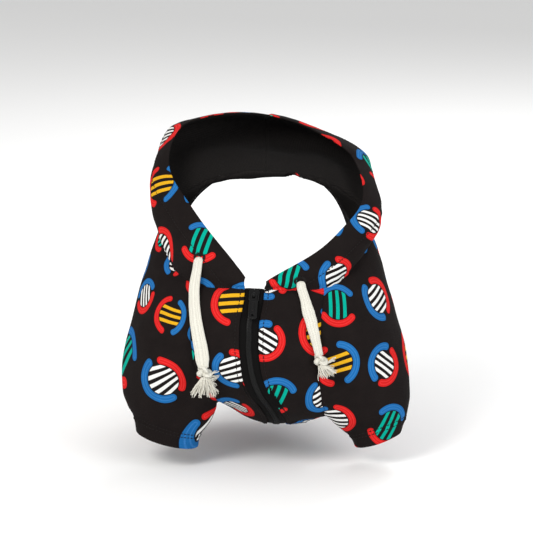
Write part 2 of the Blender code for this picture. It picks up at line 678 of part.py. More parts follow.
def build_knot(name, points, tuft_width, tuft_length, finish):
    """The knot at the end of a cord and the frayed tuft below it, turned and then flattened."""
    down = (points[-1] - points[-2]).normalized()
    inward = (-down).cross(Vector((1, 0, 0))).normalized()
    across = inward.cross(-down)
    frame = Matrix((across, inward, -down)).transposed().to_4x4()
    frame = Matrix.Translation(points[-1] + down * KNOT_GAP) @ frame
    profile = [(out * KNOT_WIDTH / 2, -below * KNOT_WIDTH / 2) for out, below in KNOT_PROFILE]
    knot_end = profile[-1][1]
    profile += [(out * tuft_width, knot_end - below * tuft_length) for out, below in TUFT_PROFILE]
    mesh = bmesh.new()
    verts = [mesh.verts.new((x, 0, z)) for x, z in profile]
    edges = [mesh.edges.new(pair) for pair in zip(verts, verts[1:])]
    bmesh.ops.spin(mesh, geom=verts + edges, cent=(0, 0, 0), axis=(0, 0, 1), angle=math.tau,
                   steps=KNOT_STEPS, use_merge=True)
    bmesh.ops.remove_doubles(mesh, verts=mesh.verts, dist=SAME_POINT)
    bmesh.ops.holes_fill(mesh, edges=[edge for edge in mesh.edges if edge.is_boundary], sides=0)
    for vert in mesh.verts:
        width = KNOT_WIDTH if vert.co.z > knot_end - SAME_POINT else tuft_width
        vert.co.y *= KNOT_DEPTH / width
    bmesh.ops.recalc_face_normals(mesh, faces=mesh.faces)
    new_object(name, mesh, finish, frame)


def worn(grid, side):
    """A grid of the right half laid on this side, with the lean of the worn front."""
    return [[leaned(mirrored(point, side)) for point in row] for row in grid]


def front_panel(name, row, column):
    """The panel of a face in front of the raglan seam or the side seam."""
    if column == 0:
        return "zip_opening" if row == 0 else "zip_chain"
    return "zip_tape_" + name if column < ZIP_COLUMNS else "chest_" + name


def yoke_panel(name, row, column):
    if column < RAGLAN_FRONT:
        return front_panel(name, row, column)
    return "sleeve_" + name if column < RAGLAN_BACK else "back_panel"


def body_panel(name, row, column):
    return front_panel(name, row + YOKE_ROWS, column) if column < SIDE_SEAM else "back_panel"


def build_skin():
    """The whole middle surface, and the lines along the zip that its hardware follows."""
    skin = Skin()
    yoke, body, line = half_garment()
    hood = hood_grid(yoke)
    cuffs = {"left": (LEFT_CUFF_OUT, LEFT_CUFF_DIAMETER), "right": (RIGHT_CUFF_OUT, RIGHT_CUFF_DIAMETER)}
    centre_line, tape_edges, underarms = [], [], []
    for name, side in SIDES.items():
        out, diameter = cuffs[name]
        sleeve = sleeve_grid(yoke, line, out, (diameter - CLOTH) / 2)
        raised = [[leaned(tilted(mirrored(point, side), row / HOOD_ROWS)) for point in points]
                  for row, points in enumerate(hood)]
        worn_yoke, worn_body = worn(yoke, side), worn(body, side)
        skin.add_grid(worn_yoke, partial(yoke_panel, name))
        skin.add_grid(worn_body, partial(body_panel, name))
        skin.add_grid(worn(sleeve, side), lambda row, column: "sleeve_" + name, closed=True)
        skin.add_grid(raised, lambda row, column: "hood_" + name)
        underarms += worn([line], side)[0]
        underarms += [row[RAGLAN_BACK] for row in worn_yoke[YOKE_ROWS // 2:]]
        centre_line = [row[0] for row in worn_yoke + worn_body[1:]]
        tape_edges.append([row[ZIP_COLUMNS] for row in worn_yoke + worn_body[1:]])
    skin.weld()
    skin.ease(underarms, UNDERARM_EASE, UNDERARM_ROUNDS)
    skin.fold()
    skin.split()
    return skin, centre_line, tape_edges


def main():
    for old in list(bpy.data.objects):
        bpy.data.objects.remove(old, do_unlink=True)
    cloth = material("printed_cloth", (0.020, 0.016, 0.015), 0.9)
    tape = material("zip_tape", (0.012, 0.012, 0.012), 0.8)
    coil = material("zip_coil", (0.02, 0.02, 0.02), 0.45)
    metal = material("blackened_metal", (0.05, 0.05, 0.05), 0.35, 0.9)
    cotton = material("cream_cotton", (0.78, 0.72, 0.60), 0.9)

    skin, centre_line, tape_edges = build_skin()
    for name in skin.names:
        if name == "zip_opening":
            continue
        if name == "zip_chain":
            thickness, finish = CHAIN_THICKNESS, coil
        elif name.startswith("zip_tape"):
            thickness, finish = TAPE_THICKNESS, tape
        else:
            thickness, finish = CLOTH, cloth
        new_object(name, sheet_mesh(skin, name, thickness), finish)

    frame = zip_frame(centre_line, tape_edges, SLIDER_DROP)
    axis = build_slider(frame, metal)
    build_pull(frame, axis, metal)
    build_stops(centre_line, tape_edges, metal)
    left = build_cord("drawstring_left", LEFT_CORD_ROUTE, LEFT_CORD_TILT, cotton)
    build_knot("knot_left", left, LEFT_TUFT_WIDTH, LEFT_TUFT_LENGTH, cotton)
    right = build_cord("drawstring_right", RIGHT_CORD_ROUTE, RIGHT_CORD_TILT, cotton)
    build_knot("knot_right", right, RIGHT_TUFT_WIDTH, RIGHT_TUFT_LENGTH, cotton)


main()
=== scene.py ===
"""Looks of the dog hoodie: printed knit cloth, a black zip, flat cream cords and soft studio light.

Metres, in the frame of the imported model. The wearer faces -Y, and the left pieces are at -X.
"""

import heapq
import json
import math
import random

import bmesh
import bpy
import numpy as np
from mathutils import Matrix, Vector, noise
from mathutils.bvhtree import BVHTree
from mathutils.kdtree import KDTree


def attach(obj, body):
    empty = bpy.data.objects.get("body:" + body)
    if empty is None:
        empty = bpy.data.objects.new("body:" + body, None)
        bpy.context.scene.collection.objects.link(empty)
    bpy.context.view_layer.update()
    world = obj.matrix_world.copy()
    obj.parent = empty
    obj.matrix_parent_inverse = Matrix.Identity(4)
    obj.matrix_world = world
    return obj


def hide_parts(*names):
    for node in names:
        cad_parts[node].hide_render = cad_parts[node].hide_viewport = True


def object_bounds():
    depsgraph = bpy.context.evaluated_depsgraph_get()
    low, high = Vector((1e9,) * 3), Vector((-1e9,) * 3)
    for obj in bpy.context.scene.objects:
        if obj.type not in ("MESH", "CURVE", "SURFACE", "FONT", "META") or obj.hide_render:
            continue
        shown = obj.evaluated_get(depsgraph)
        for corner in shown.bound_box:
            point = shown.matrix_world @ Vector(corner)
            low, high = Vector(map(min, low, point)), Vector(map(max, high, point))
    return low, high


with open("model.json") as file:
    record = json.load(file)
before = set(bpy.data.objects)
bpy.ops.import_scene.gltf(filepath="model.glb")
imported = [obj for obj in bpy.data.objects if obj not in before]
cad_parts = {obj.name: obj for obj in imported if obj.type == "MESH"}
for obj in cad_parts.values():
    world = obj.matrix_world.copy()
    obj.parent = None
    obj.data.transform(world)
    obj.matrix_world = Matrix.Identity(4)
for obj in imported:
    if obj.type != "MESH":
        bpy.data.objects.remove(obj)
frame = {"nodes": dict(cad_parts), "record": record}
CAD_BOX = [list(corner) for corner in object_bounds()]

# Cloth
CLOTH_PANELS = ["back_panel", "chest_left", "chest_right", "sleeve_left", "sleeve_right", "hood_left",
                "hood_right"]
CLOTH_THICKNESS = 0.0019
SEAM_REACH = 0.0009
CAD_CLOTH = 0.0022
CAD_CHAIN = 0.0020
RIM_TOLERANCE = 0.00002
SAME_POINT = 1e-6
LENGTH_SLACK = 1e-9
SAME_CORNER = 1e-5
JOIN_ANGLE = math.radians(100)
SKIN_LEVELS = 3
SKIN_RETURN = 0.9
CASING_WIDTH = 0.019
CUFF_HEM = 0.014
REAR_HEM = 0.020
ZIP_FOLD = 0.0035
TWIN_ROW = 0.0030
EDGE_SOFTNESS = 0.0022
EDGE_THIN = 0.35

# How far the cloth rises or sinks, and over which width
SEAM_DIP = 0.0011
SEAM_WIDTH = 0.0024
SEAM_PUCKER = 0.0009
SEAM_PUCKER_REACH = 0.010
HEM_SWELLS = (("rim", CASING_WIDTH, 0.0010), ("cuffs", CUFF_HEM, 0.0004), ("hem", REAR_HEM, 0.0007),
              ("zip", ZIP_FOLD, 0.0003))
SEAM_HOLD = 0.8
SEAM_HOLD_REACH = 0.002
STITCH_DIP = 0.0004
STITCH_DIP_WIDTH = 0.0016
HEM_PUCKER = 0.0008
HEM_PUCKER_REACH = 0.007
PUCKER_SCALE = 95.0
# Broad waves of the cloth: (height, waves per metre, shift of the noise)
CLOTH_WAVES = ((0.0011, 28.0, 3.0), (0.0006, 60.0, 7.0))
FOLDS_FROM = -0.060
FOLDS_RUN = 0.080
FOLD_DEPTH = 0.0034
FOLD_SCALE = 24.0
FOLD_SHIFT = 11.0
FOLD_STRETCH = (1.0, 0.45, 0.8)
FLAT_EDGE = 0.003

# Zip
ZIP_HALF = 0.0075
ZIP_REACH = 0.0015
ZIP_OPENING = 0.0012
SLIDER_DROP = 0.0080
HINGE_DEPTH = 0.00375
CAST_VOXEL = 0.00016
TOOTH_PITCH = 0.0013
TOOTH_CENTRE = 0.00105
TOOTH_RISE = 0.00055
TOOTH_SLANT = 0.12
TOOTH_HALF_SIZE = (0.00036, 0.00052, 0.00150)
CORE_HALF_WIDTH = 0.0021
CORE_HALF_DEPTH = 0.0003
CORE_ROUND = 10
TAPE_STEP = 0.0015
TAPE_THICKNESS = 0.0007
# Top of the tape at distances from the middle, both in mm: it lies flat and then dips under the cloth
TAPE_SECTION = [(0.05, 0.15), (1.6, 0.15), (3.0, 0.15), (4.4, 0.13), (5.8, 0.05), (7.0, -0.25), (8.2, -0.75),
                (9.4, -1.05), (10.6, -1.15)]

# Slider and pull: sizes are (width, depth, height)
PLATE_SIZE = (0.0090, 0.0010, 0.0110)
PLATE_OFF = 0.0021
PLATE_CORNER = 0.0020
PLATE_TAPER = 0.80
FLANGE_SIZE = (0.0009, 0.0012, 0.0084)
FLANGE_PLACE = (0.0039, 0.0013, 0.0002)
POST_SIZE = (0.0018, 0.0050, 0.0028)
POST_RISE = 0.0027
POST_CORNER = 0.0006
BRIDGE_FOOT = 0.0024
BRIDGE_WIDTH = 0.0018
BRIDGE_THICKNESS = 0.0009
BRIDGE_ROUND = 12
BRIDGE_CORNER = 0.6
# One half of the bridge's arch: (height over the plate, distance from its middle)
BRIDGE_ARCH = [(0, 0.0019), (0.0008, 0.00185), (0.0019, 0.0016), (0.0026, 0.0009), (0.0028, 0.0)]
RIDGE_SIZE = (0.0026, 0.0005, 0.0062)
RIDGE_CORNER = 0.0010
FINE_CORNER = 0.0002
RELIEF_OUT = 0.0006
TAB_BORDER_SIZE = (0.0009, 0.0005, 0.0148)
TAB_BORDER_PLACE = (0.0031, -0.0132)
TAB_END_SIZE = (0.0056, 0.0005, 0.0008)
TAB_ENDS = (-0.0211, -0.0062)
TAB_RIB_SIZE = (0.0014, 0.0005, 0.0072)
TAB_RIB_DROP = -0.0110
TAB_RIB_CORNER = 0.0006
STOP_EVENING = 6

# Stitches
STITCH_LENGTH = 0.0024
STITCH_GAP = 0.0008
STITCH_WIDTH = 0.00042
STITCH_HALF_SIZE = (STITCH_WIDTH, 0.8 * STITCH_WIDTH, STITCH_LENGTH / 2)
BUTTONHOLE_STITCHES = 26
BUTTONHOLE_REACH = (0.0044, 0.0030)
BUTTONHOLE_RISE = 0.0002
BUTTONHOLE_HALF_SIZE = (0.00046, 0.00042, 0.00135)
SHORTEST_LINE = 0.02
LINE_SPACING = 0.001
CURVE_STEPS = 16

# Drawstrings: the routes of the part's own cords, from the buttonhole to the knot
CORD_WIDTH = 0.010
CORD_THICKNESS = 0.0025
LEFT_CORD_ROUTE = [(-0.0556, -0.1181, -0.0505), (-0.0575, -0.1202, -0.0615), (-0.0593, -0.1221, -0.0740),
                   (-0.0597, -0.1261, -0.0855), (-0.0587, -0.1326, -0.0975), (-0.0567, -0.1373, -0.1100),
                   (-0.0543, -0.1393, -0.1220), (-0.0529, -0.1397, -0.1325), (-0.0519, -0.1398, -0.1400)]
RIGHT_CORD_ROUTE = [(0.0284, -0.1237, -0.0700), (0.0300, -0.1252, -0.0770), (0.0326, -0.1288, -0.0860),
                    (0.0366, -0.1347, -0.0990), (0.0390, -0.1373, -0.1080), (0.0417, -0.1385, -0.1185),
                    (0.0442, -0.1387, -0.1300)]
CORD_STEP = 0.0008
CORD_TIP = 0.0040
TIP_WIDTH = 0.30
TIP_THICKNESS = 0.55
CORD_SINK = 0.0018
CORD_ROUND = 72
CORD_RIBS = 9
CORD_RIB = 0.10
CORD_SIDE_CORNER = 0.8
CORD_FACE_CORNER = 0.55
CORD_WAVE = 0.00035
CORD_WAVES = 9
CORD_WAVE_SHIFT = 50
AXIS_REACH = 6
SLICE_HALF = 0.004
SLICE_REACH = 0.009
# (share of the length, share of the width)
LEFT_CORD_WIDTHS = [(0.0, 0.74), (0.12, 0.80), (0.25, 0.90), (0.5, 1.0), (0.8, 1.18), (0.92, 1.20),
                    (1.0, 0.88)]
RIGHT_CORD_WIDTHS = [(0.0, 0.78), (0.25, 0.82), (0.42, 1.06), (0.6, 0.96), (0.85, 0.78), (1.0, 0.66)]

# Knots: sizes are (across, down, out)
LEFT_KNOT_SIZE = (0.0132, 0.0120, 0.0088)
RIGHT_KNOT_SIZE = (0.0115, 0.0122, 0.0085)
KNOT_LEAN = 0.25
KNOT_OVERLAP = 0.0022
KNOT_PATH_STEPS = 96
KNOT_ROUND = 28
KNOT_RIBS = 7
KNOT_RIB = 0.07
KNOT_STRAND = (1.35, 0.95)

# Frayed ends: (strands, first angle, last angle, shortest, longest), with angles from straight down
# towards +X in degrees and lengths in mm
LEFT_LOBES = [(100, -44, 20, 13, 19), (24, 18, 42, 8, 13), (7, 104, 110, 10.5, 12.5), (6, 78, 83, 9, 10.5),
              (6, 64, 69, 9.5, 11)]
RIGHT_LOBES = [(80, -8, 44, 9, 13.5), (16, 44, 62, 8, 11), (12, 92, 104, 9, 12.5)]
STRAND_STEPS = 9
STRAND_ROUND = 6
STRAND_SWAY = 0.00050
STRAND_CURL = 0.0004
STRAND_CURLS = 5.0
STRAND_TAPER = 0.35
STRAND_BEND = (-0.16, 0.16)
STRAND_TURNS = (1.0, 2.2)
STRAND_RADIUS = (0.00030, 0.00046)
TUFT_ROOT = 0.0022
TUFT_WIDTH = 0.0050
TUFT_LIFT = (-0.22, 0.16)
TUFT_DEPTH = (-0.0022, 0.0020)

# View of the photograph
PICTURE_SIZE = 533
MM_PER_PIXEL = 0.85
CAMERA_DISTANCE = 2.6
CAMERA_ELEVATION = math.radians(12)
AIM = Vector((0.0004, -0.060, -0.0711))
SENSOR = 36.0

# Studio: lights are (name, place, size, power, colour)
LIGHTS = [("key", (-0.9, -1.5, 1.1), 0.9, 26, (1.0, 0.98, 0.95)),
          ("fill", (1.2, -1.2, 0.5), 1.2, 11, (0.96, 0.98, 1.0)),
          ("back", (0.5, 1.4, 1.2), 1.0, 16, (1.0, 1.0, 1.0))]
LIGHT_AIM = Vector((0, -0.03, -0.08))
STUDIO_GLOW = 0.62
FLOOR_DROP = 0.015
FLOOR_SIZE = 40.0
FLOOR_COLOUR = (0.97, 0.97, 0.965, 1)


def at_origin(name, mesh, *finishes):
    """A new object at the origin from a bmesh, with these materials."""
    data = bpy.data.meshes.new(name)
    mesh.to_mesh(data)
    mesh.free()
    for finish in finishes:
        data.materials.append(finish)
    made = bpy.data.objects.new(name, data)
    bpy.context.scene.collection.objects.link(made)
    return made


def smooth(made):
    made.data.shade_smooth()
    return made


# Nodes
class Value:
    """A number or a place that varies over a surface. Sums and products of values are Math nodes."""

    def __init__(self, tree, socket):
        self.tree = tree
        self.socket = socket

    def math(self, operation, *others, clamp=False):
        inputs = dict(enumerate((self, *others)))
        return Value(self.tree, add_node(self.tree, "ShaderNodeMath", inputs, operation=operation,
                                         use_clamp=clamp).outputs[0])

    def __add__(self, other):
        return self.math("ADD", other)

    def __sub__(self, other):
        return self.math("SUBTRACT", other)

    def __mul__(self, other):
        return self.math("MULTIPLY", other)

    def __truediv__(self, other):
        return self.math("DIVIDE", other)

    def __abs__(self):
        return self.math("ABSOLUTE")

    def sine(self):
        return self.math("SINE")

    def cosine(self):
        return self.math("COSINE")

    def wrapped(self, half):
        """The value brought between -half and half by whole steps."""
        return self.math("WRAP", half, -half)

    def step_below(self, edge, softness):
        """1 where the value is below edge and 0 above it, with a soft step between."""
        ends = {"Value": self, "From Min": edge - softness, "From Max": edge, "To Min": 1.0, "To Max": 0.0}
        return Value(self.tree, add_node(self.tree, "ShaderNodeMapRange", ends,
                                         interpolation_type="SMOOTHSTEP").outputs[0])

    def across_and_up(self):
        """The first two parts of a place."""
        split = add_node(self.tree, "ShaderNodeSeparateXYZ", {0: self})
        return Value(self.tree, split.outputs[0]), Value(self.tree, split.outputs[1])


def feed(tree, socket, value):
    """Sets a socket to a plain value, or links it to a value that varies."""
    if isinstance(value, Value):
        tree.links.new(value.socket, socket)
    else:
        socket.default_value = value


def add_node(tree, kind, inputs=None, **settings):
    """A node with its settings and inputs."""
    made = tree.nodes.new(kind)
    for key, value in settings.items():
        setattr(made, key, value)
    for key, value in (inputs or {}).items():
        feed(tree, made.inputs[key], value)
    return made


def blend_colour(tree, share, first, second):
    made = add_node(tree, "ShaderNodeMix", data_type="RGBA")
    for key, value in (("Factor", share), ("A", first), ("B", second)):
        feed(tree, next(socket for socket in made.inputs if socket.name == key and socket.enabled), value)
    return Value(tree, next(socket for socket in made.outputs if socket.enabled))


def grain(tree, place, scale, detail):
    """Noise from 0 to 1."""
    inputs = {"Vector": place, "Scale": scale, "Detail": detail}
    return Value(tree, add_node(tree, "ShaderNodeTexNoise", inputs).outputs[0])


def flat_place(tree):
    """The place on the piece's own flat pattern."""
    return Value(tree, add_node(tree, "ShaderNodeUVMap", uv_map="cloth").outputs[0])


def solid_place(tree):
    """The place in the object."""
    return Value(tree, add_node(tree, "ShaderNodeTexCoord").outputs["Object"])


def new_group(name, inputs, outputs):
    """A shader node group: its tree, its inputs by name and its outputs. An input of None is a place."""
    tree = bpy.data.node_groups.new(name, "ShaderNodeTree")
    for label, value in inputs.items():
        kind = "NodeSocketVector" if value is None else "NodeSocketFloat"
        socket = tree.interface.new_socket(name=label, in_out="INPUT", socket_type=kind)
        if value is not None:
            socket.default_value = value
    for label in outputs:
        tree.interface.new_socket(name=label, in_out="OUTPUT", socket_type="NodeSocketFloat")
    given = {socket.name: Value(tree, socket) for socket in tree.nodes.new("NodeGroupInput").outputs}
    return tree, given, tree.nodes.new("NodeGroupOutput").inputs


def place_group(tree, group, inputs):
    """The outputs of a group with these inputs, by name."""
    made = add_node(tree, "ShaderNodeGroup", inputs, node_tree=group)
    return {socket.name: Value(tree, socket) for socket in made.outputs}


def new_material(name, roughness, **sockets):
    """A Principled material: its tree and the inputs of its shader."""
    made = bpy.data.materials.new(name)
    made.use_nodes = True
    tree = made.node_tree
    shader = tree.nodes["Principled BSDF"].inputs
    shader["Roughness"].default_value = roughness
    for key, value in sockets.items():
        shader[key.replace("_", " ")].default_value = value
    return made, tree, shader


def linear(red, green, blue):
    """A colour from 8-bit display values."""
    parts = [part / 255 for part in (red, green, blue)]
    return tuple(((part + 0.055) / 1.055) ** 2.4 if part > 0.04 else part / 12.92 for part in parts) + (1.0,)


def set_camera():
    data = bpy.data.cameras.new("camera")
    camera = bpy.data.objects.new("camera", data)
    bpy.context.scene.collection.objects.link(camera)
    back = Vector((0, -math.cos(CAMERA_ELEVATION), math.sin(CAMERA_ELEVATION)))
    camera.location = AIM + CAMERA_DISTANCE * back
    camera.rotation_euler = (-back).to_track_quat("-Z", "Y").to_euler()
    data.sensor_width = SENSOR
    data.lens = SENSOR * CAMERA_DISTANCE / (PICTURE_SIZE * MM_PER_PIXEL / 1000)
    data.clip_start = 0.05
    bpy.context.scene.camera = camera
    bpy.context.scene.view_settings.view_transform = "Standard"


def add_light(name, place, size, power, colour):
    data = bpy.data.lights.new(name, "AREA")
    data.shape = "DISK"
    data.size = size
    data.energy = power
    data.color = colour
    made = bpy.data.objects.new(name, data)
    made.location = place
    made.rotation_euler = (LIGHT_AIM - Vector(place)).to_track_quat("-Z", "Y").to_euler()
    bpy.context.scene.collection.objects.link(made)


def set_stage():
    """A white studio: it shines softly on the garment and is seen as white."""
    world = bpy.data.worlds.new("studio")
    world.use_nodes = True
    tree = world.node_tree
    seen = Value(tree, add_node(tree, "ShaderNodeLightPath").outputs["Is Camera Ray"])
    light = tree.nodes["Background"].inputs
    light["Color"].default_value = (1, 1, 1, 1)
    feed(tree, light["Strength"], seen * (1 - STUDIO_GLOW) + STUDIO_GLOW)
    bpy.context.scene.world = world
    for light in LIGHTS:
        add_light(*light)
    floor = bmesh.new()
    bmesh.ops.create_grid(floor, x_segments=1, y_segments=1, size=FLOOR_SIZE)
    bmesh.ops.translate(floor, vec=(0, 0, CAD_BOX[0][2] - FLOOR_DROP), verts=floor.verts)
    finish, tree, shader = new_material("pale_floor", 0.9)
    shader["Base Color"].default_value = FLOOR_COLOUR
    at_origin("floor", floor, finish)


# Print on the cloth: barred discs in two-coloured rings, in a half-drop repeat
WARM_BLACK = linear(22, 18, 18)
WARM_GREY = linear(30, 25, 24)
PRINT_RED = linear(200, 31, 30)
PRINT_BLUE = linear(29, 100, 162)
PRINT_YELLOW = linear(219, 165, 31)
PRINT_TEAL = linear(2, 163, 142)
PRINT_WHITE = linear(232, 232, 229)
TILE_WIDTH = 0.094
TILE_HEIGHT = 0.106
RING_STROKE = 0.0062
OUTLINE = 0.0008
PRINT_EDGE = 0.0003
BAR_HALF = 0.27
BAR_EDGE = 0.05
STREAK_PLACE = 0.35
STREAK_HALF = 0.16
STREAK_SHARE = 0.55

# One repeat: (across, up, turn, radius, half of each arc, bar pitch, bars, left, right, bar colour),
# with places as shares of the tile, angles in degrees and lengths in mm
MOTIFS = [
    (0.20, 0.24, 14, 17.5, 66, 6.6, 3, PRINT_RED, PRINT_BLUE, PRINT_YELLOW),
    (0.68, 0.20, -34, 14.5, 74, 5.0, 4, PRINT_BLUE, PRINT_RED, PRINT_WHITE),
    (0.28, 0.72, 76, 16.5, 52, 6.6, 3, PRINT_RED, PRINT_BLUE, PRINT_TEAL),
    (0.76, 0.70, 24, 16.0, 70, 5.2, 5, PRINT_BLUE, PRINT_RED, PRINT_WHITE),
]


def length_of(x, y):
    return (x * x + y * y).math("SQRT")


def arc_distance(x, off_axis, apart, radius, half):
    """How far a point is from an arc with round ends that is centred on the X axis."""
    cosine, sine = half.cosine(), half.sine()
    beside = (x * sine).math("GREATER_THAN", off_axis * cosine)
    to_end = length_of(x - radius * cosine, off_axis - radius * sine)
    inputs = {0: beside, 2: to_end, 3: abs(apart - radius)}
    return Value(x.tree, add_node(x.tree, "ShaderNodeMix", inputs, data_type="FLOAT").outputs[0])


def barred_disc_group():
    """A disc of straight bars between two arcs: how much of each colour lies at a point."""
    tree, given, result = new_group(
        "barred_disc",
        {"Across": 0.0, "Up": 0.0, "Centre Across": 0.0, "Centre Up": 0.0, "Turn": 0.0, "Radius": 0.017,
         "Half Arc": 1.0, "Bar Pitch": 0.006, "Bars": 3.0},
        ["Left Arc", "Right Arc", "Bars", "Outline", "Streak"])
    radius, half_arc, pitch = given["Radius"], given["Half Arc"], given["Bar Pitch"]
    x = given["Across"] - given["Centre Across"]
    y = given["Up"] - given["Centre Up"]
    row = (y / TILE_HEIGHT + 0.5).math("FLOOR")
    x = (x + row * (TILE_WIDTH / 2)).wrapped(TILE_WIDTH / 2)
    y = y.wrapped(TILE_HEIGHT / 2)
    cosine, sine = given["Turn"].cosine(), given["Turn"].sine()
    along = x * cosine + y * sine
    above = y * cosine - x * sine
    apart = length_of(along, above)
    off_axis = abs(above)
    right = arc_distance(along, off_axis, apart, radius, half_arc)
    left = arc_distance(along * -1.0, off_axis, apart, radius, half_arc)
    nearest = left.math("MINIMUM", right)
    half = RING_STROKE / 2
    half_count = given["Bars"] * 0.5
    within = off_axis.step_below(half_count * pitch, PRINT_EDGE)
    from_bar = abs((above / pitch + (half_count + 0.5)).wrapped(0.5))
    bars = from_bar.step_below(BAR_HALF, BAR_EDGE) * within * apart.step_below(radius, PRINT_EDGE)
    feed(tree, result["Left Arc"], left.step_below(half, PRINT_EDGE))
    feed(tree, result["Right Arc"], right.step_below(half, PRINT_EDGE))
    feed(tree, result["Bars"], bars)
    feed(tree, result["Outline"], nearest.step_below(half + OUTLINE, PRINT_EDGE))
    off_streak = abs(nearest - half * STREAK_PLACE)
    feed(tree, result["Streak"], off_streak.step_below(half * STREAK_HALF, PRINT_EDGE))
    return tree


def knit_group():
    """Fine knit: columns of small slanted loops, as a height from 0 to 1."""
    tree, given, result = new_group("knit", {"Vector": None, "Pitch": 0.0009}, ["Height"])
    across, up = given["Vector"].across_and_up()
    wale = abs((across / given["Pitch"] * math.pi).sine())
    loop = (up / given["Pitch"] * (0.75 * math.tau) + wale * 2.2).sine()
    feed(tree, result["Height"], wale * 0.55 + loop * 0.25)
    return tree


def weave_group():
    """Ribbed weave: fine ribs along V crossed by slanted threads, as a height from 0 to 1."""
    tree, given, result = new_group("weave", {"Vector": None, "Pitch": 0.0012}, ["Height"])
    across, up = (part / given["Pitch"] * math.pi for part in given["Vector"].across_and_up())
    thread = abs((up + across.math("PINGPONG", math.pi) * 1.2).sine())
    feed(tree, result["Height"], abs(across.sine()) * 0.5 + thread * 0.5)
    return tree


def finish_bump(tree, shader, height, distance, strength=1.0):
    inputs = {"Height": height, "Distance": distance, "Strength": strength}
    feed(tree, shader["Normal"], Value(tree, add_node(tree, "ShaderNodeBump", inputs).outputs[0]))


def printed_cloth():
    """Warm black knit with the printed pattern, in the cloth's own flat coordinates."""
    made, tree, shader = new_material("printed_cloth", 0.85, Sheen_Weight=0.004, Sheen_Roughness=0.5,
                                      Specular_IOR_Level=0.05)
    flat = flat_place(tree)
    across, up = flat.across_and_up()
    mottle = grain(tree, flat, 70.0, 4.0)
    colour = blend_colour(tree, mottle, WARM_BLACK, WARM_GREY)
    for centre_across, centre_up, turn, radius, arc, pitch, bars, left, right, bar_colour in MOTIFS:
        motif = place_group(tree, BARRED_DISC, {
            "Across": across, "Up": up, "Centre Across": centre_across * TILE_WIDTH,
            "Centre Up": centre_up * TILE_HEIGHT, "Turn": math.radians(turn), "Radius": radius / 1000,
            "Half Arc": math.radians(arc), "Bar Pitch": pitch / 1000, "Bars": float(bars)})
        colour = blend_colour(tree, motif["Bars"], colour, bar_colour)
        colour = blend_colour(tree, motif["Outline"], colour, WARM_BLACK)
        for side, arc_colour in (("Left Arc", left), ("Right Arc", right)):
            lighter = tuple(min(1.0, channel * 1.35 + 0.03) for channel in arc_colour[:3]) + (1.0,)
            stroke = blend_colour(tree, motif["Streak"] * STREAK_SHARE, arc_colour, lighter)
            colour = blend_colour(tree, motif[side], colour, stroke)
    knit = place_group(tree, KNIT, {"Vector": flat})["Height"]
    # Painted shade: the colour darkens in the knit's low places, and it also varies with the random mottle.
    painted_knit_shade_and_mottle = (knit * 0.16 + 0.90) * (mottle * 0.12 + 0.94)
    knit_shaded_colour = add_node(tree, "ShaderNodeHueSaturation", {"Color": colour, "Value": painted_knit_shade_and_mottle})
    feed(tree, shader["Base Color"], Value(tree, knit_shaded_colour.outputs[0]))
    finish_bump(tree, shader, knit, 0.00022, 0.6)
    return made


def plain_knit(name, dark, light, pitch):
    """Plain knit, such as the reverse of the print."""
    made, tree, shader = new_material(name, 0.9, Sheen_Weight=0.01, Specular_IOR_Level=0.06)
    flat = flat_place(tree)
    knit = place_group(tree, KNIT, {"Vector": flat, "Pitch": pitch})["Height"]
    # Painted shade: the colour darkens in the knit's low places, with random grain scattered through it.
    feed(tree, shader["Base Color"], blend_colour(tree, knit * grain(tree, flat, 900.0, 3.0), dark, light))
    finish_bump(tree, shader, knit, 0.0003, 0.7)
    return made


def woven(name, dark, light, roughness, pitch, depth, sheen):
    """Woven or braided yarn along V of the piece's own UV map. Its colour darkens in the low places of the
    weave as painted shade, and it varies with random grain.
    """
    made, tree, shader = new_material(name, roughness, Sheen_Weight=sheen, Specular_IOR_Level=0.06)
    flat = flat_place(tree)
    weave = place_group(tree, WEAVE, {"Vector": flat, "Pitch": pitch})["Height"]
    height = weave + grain(tree, flat, 700.0, 4.0) * 0.5
    # Painted shade in the weave's grooves, mixed with random grain: the low places take the dark colour.
    share = height.math("MULTIPLY", 0.75, clamp=True)
    feed(tree, shader["Base Color"], blend_colour(tree, share, dark, light))
    finish_bump(tree, shader, height, depth)
    return made


def worn_metal():
    """Black lacquer that is worn through to grey metal along the edges."""
    made, tree, shader = new_material("worn_metal", 0.4, Specular_IOR_Level=0.14)
    rough_grain = grain(tree, solid_place(tree), 900.0, 5.0)
    edges = Value(tree, add_node(tree, "ShaderNodeNewGeometry").outputs["Pointiness"])
    sharp = (edges - 0.52).math("MULTIPLY", 14.0, clamp=True)
    wear = (sharp + 0.03).math("MULTIPLY", rough_grain * 1.3, clamp=True)
    feed(tree, shader["Base Color"], blend_colour(tree, wear, linear(6, 6, 7), linear(88, 88, 86)))
    feed(tree, shader["Metallic"], wear * 0.9)
    feed(tree, shader["Roughness"], rough_grain * 0.3 + 0.3)
    finish_bump(tree, shader, rough_grain, 0.00004)
    return made


def coil_plastic():
    """Black nylon of the coil, a little glossy."""
    made, tree, shader = new_material("coil_plastic", 0.45, Specular_IOR_Level=0.2)
    fine_grain = grain(tree, solid_place(tree), 1500.0, 3.0)
    feed(tree, shader["Base Color"], blend_colour(tree, fine_grain, linear(8, 8, 8), linear(18, 18, 18)))
    feed(tree, shader["Roughness"], fine_grain * 0.25 + 0.32)
    finish_bump(tree, shader, fine_grain, 0.00003)
    return made


KNIT = knit_group()
WEAVE = weave_group()
BARRED_DISC = barred_disc_group()
PRINTED = printed_cloth()
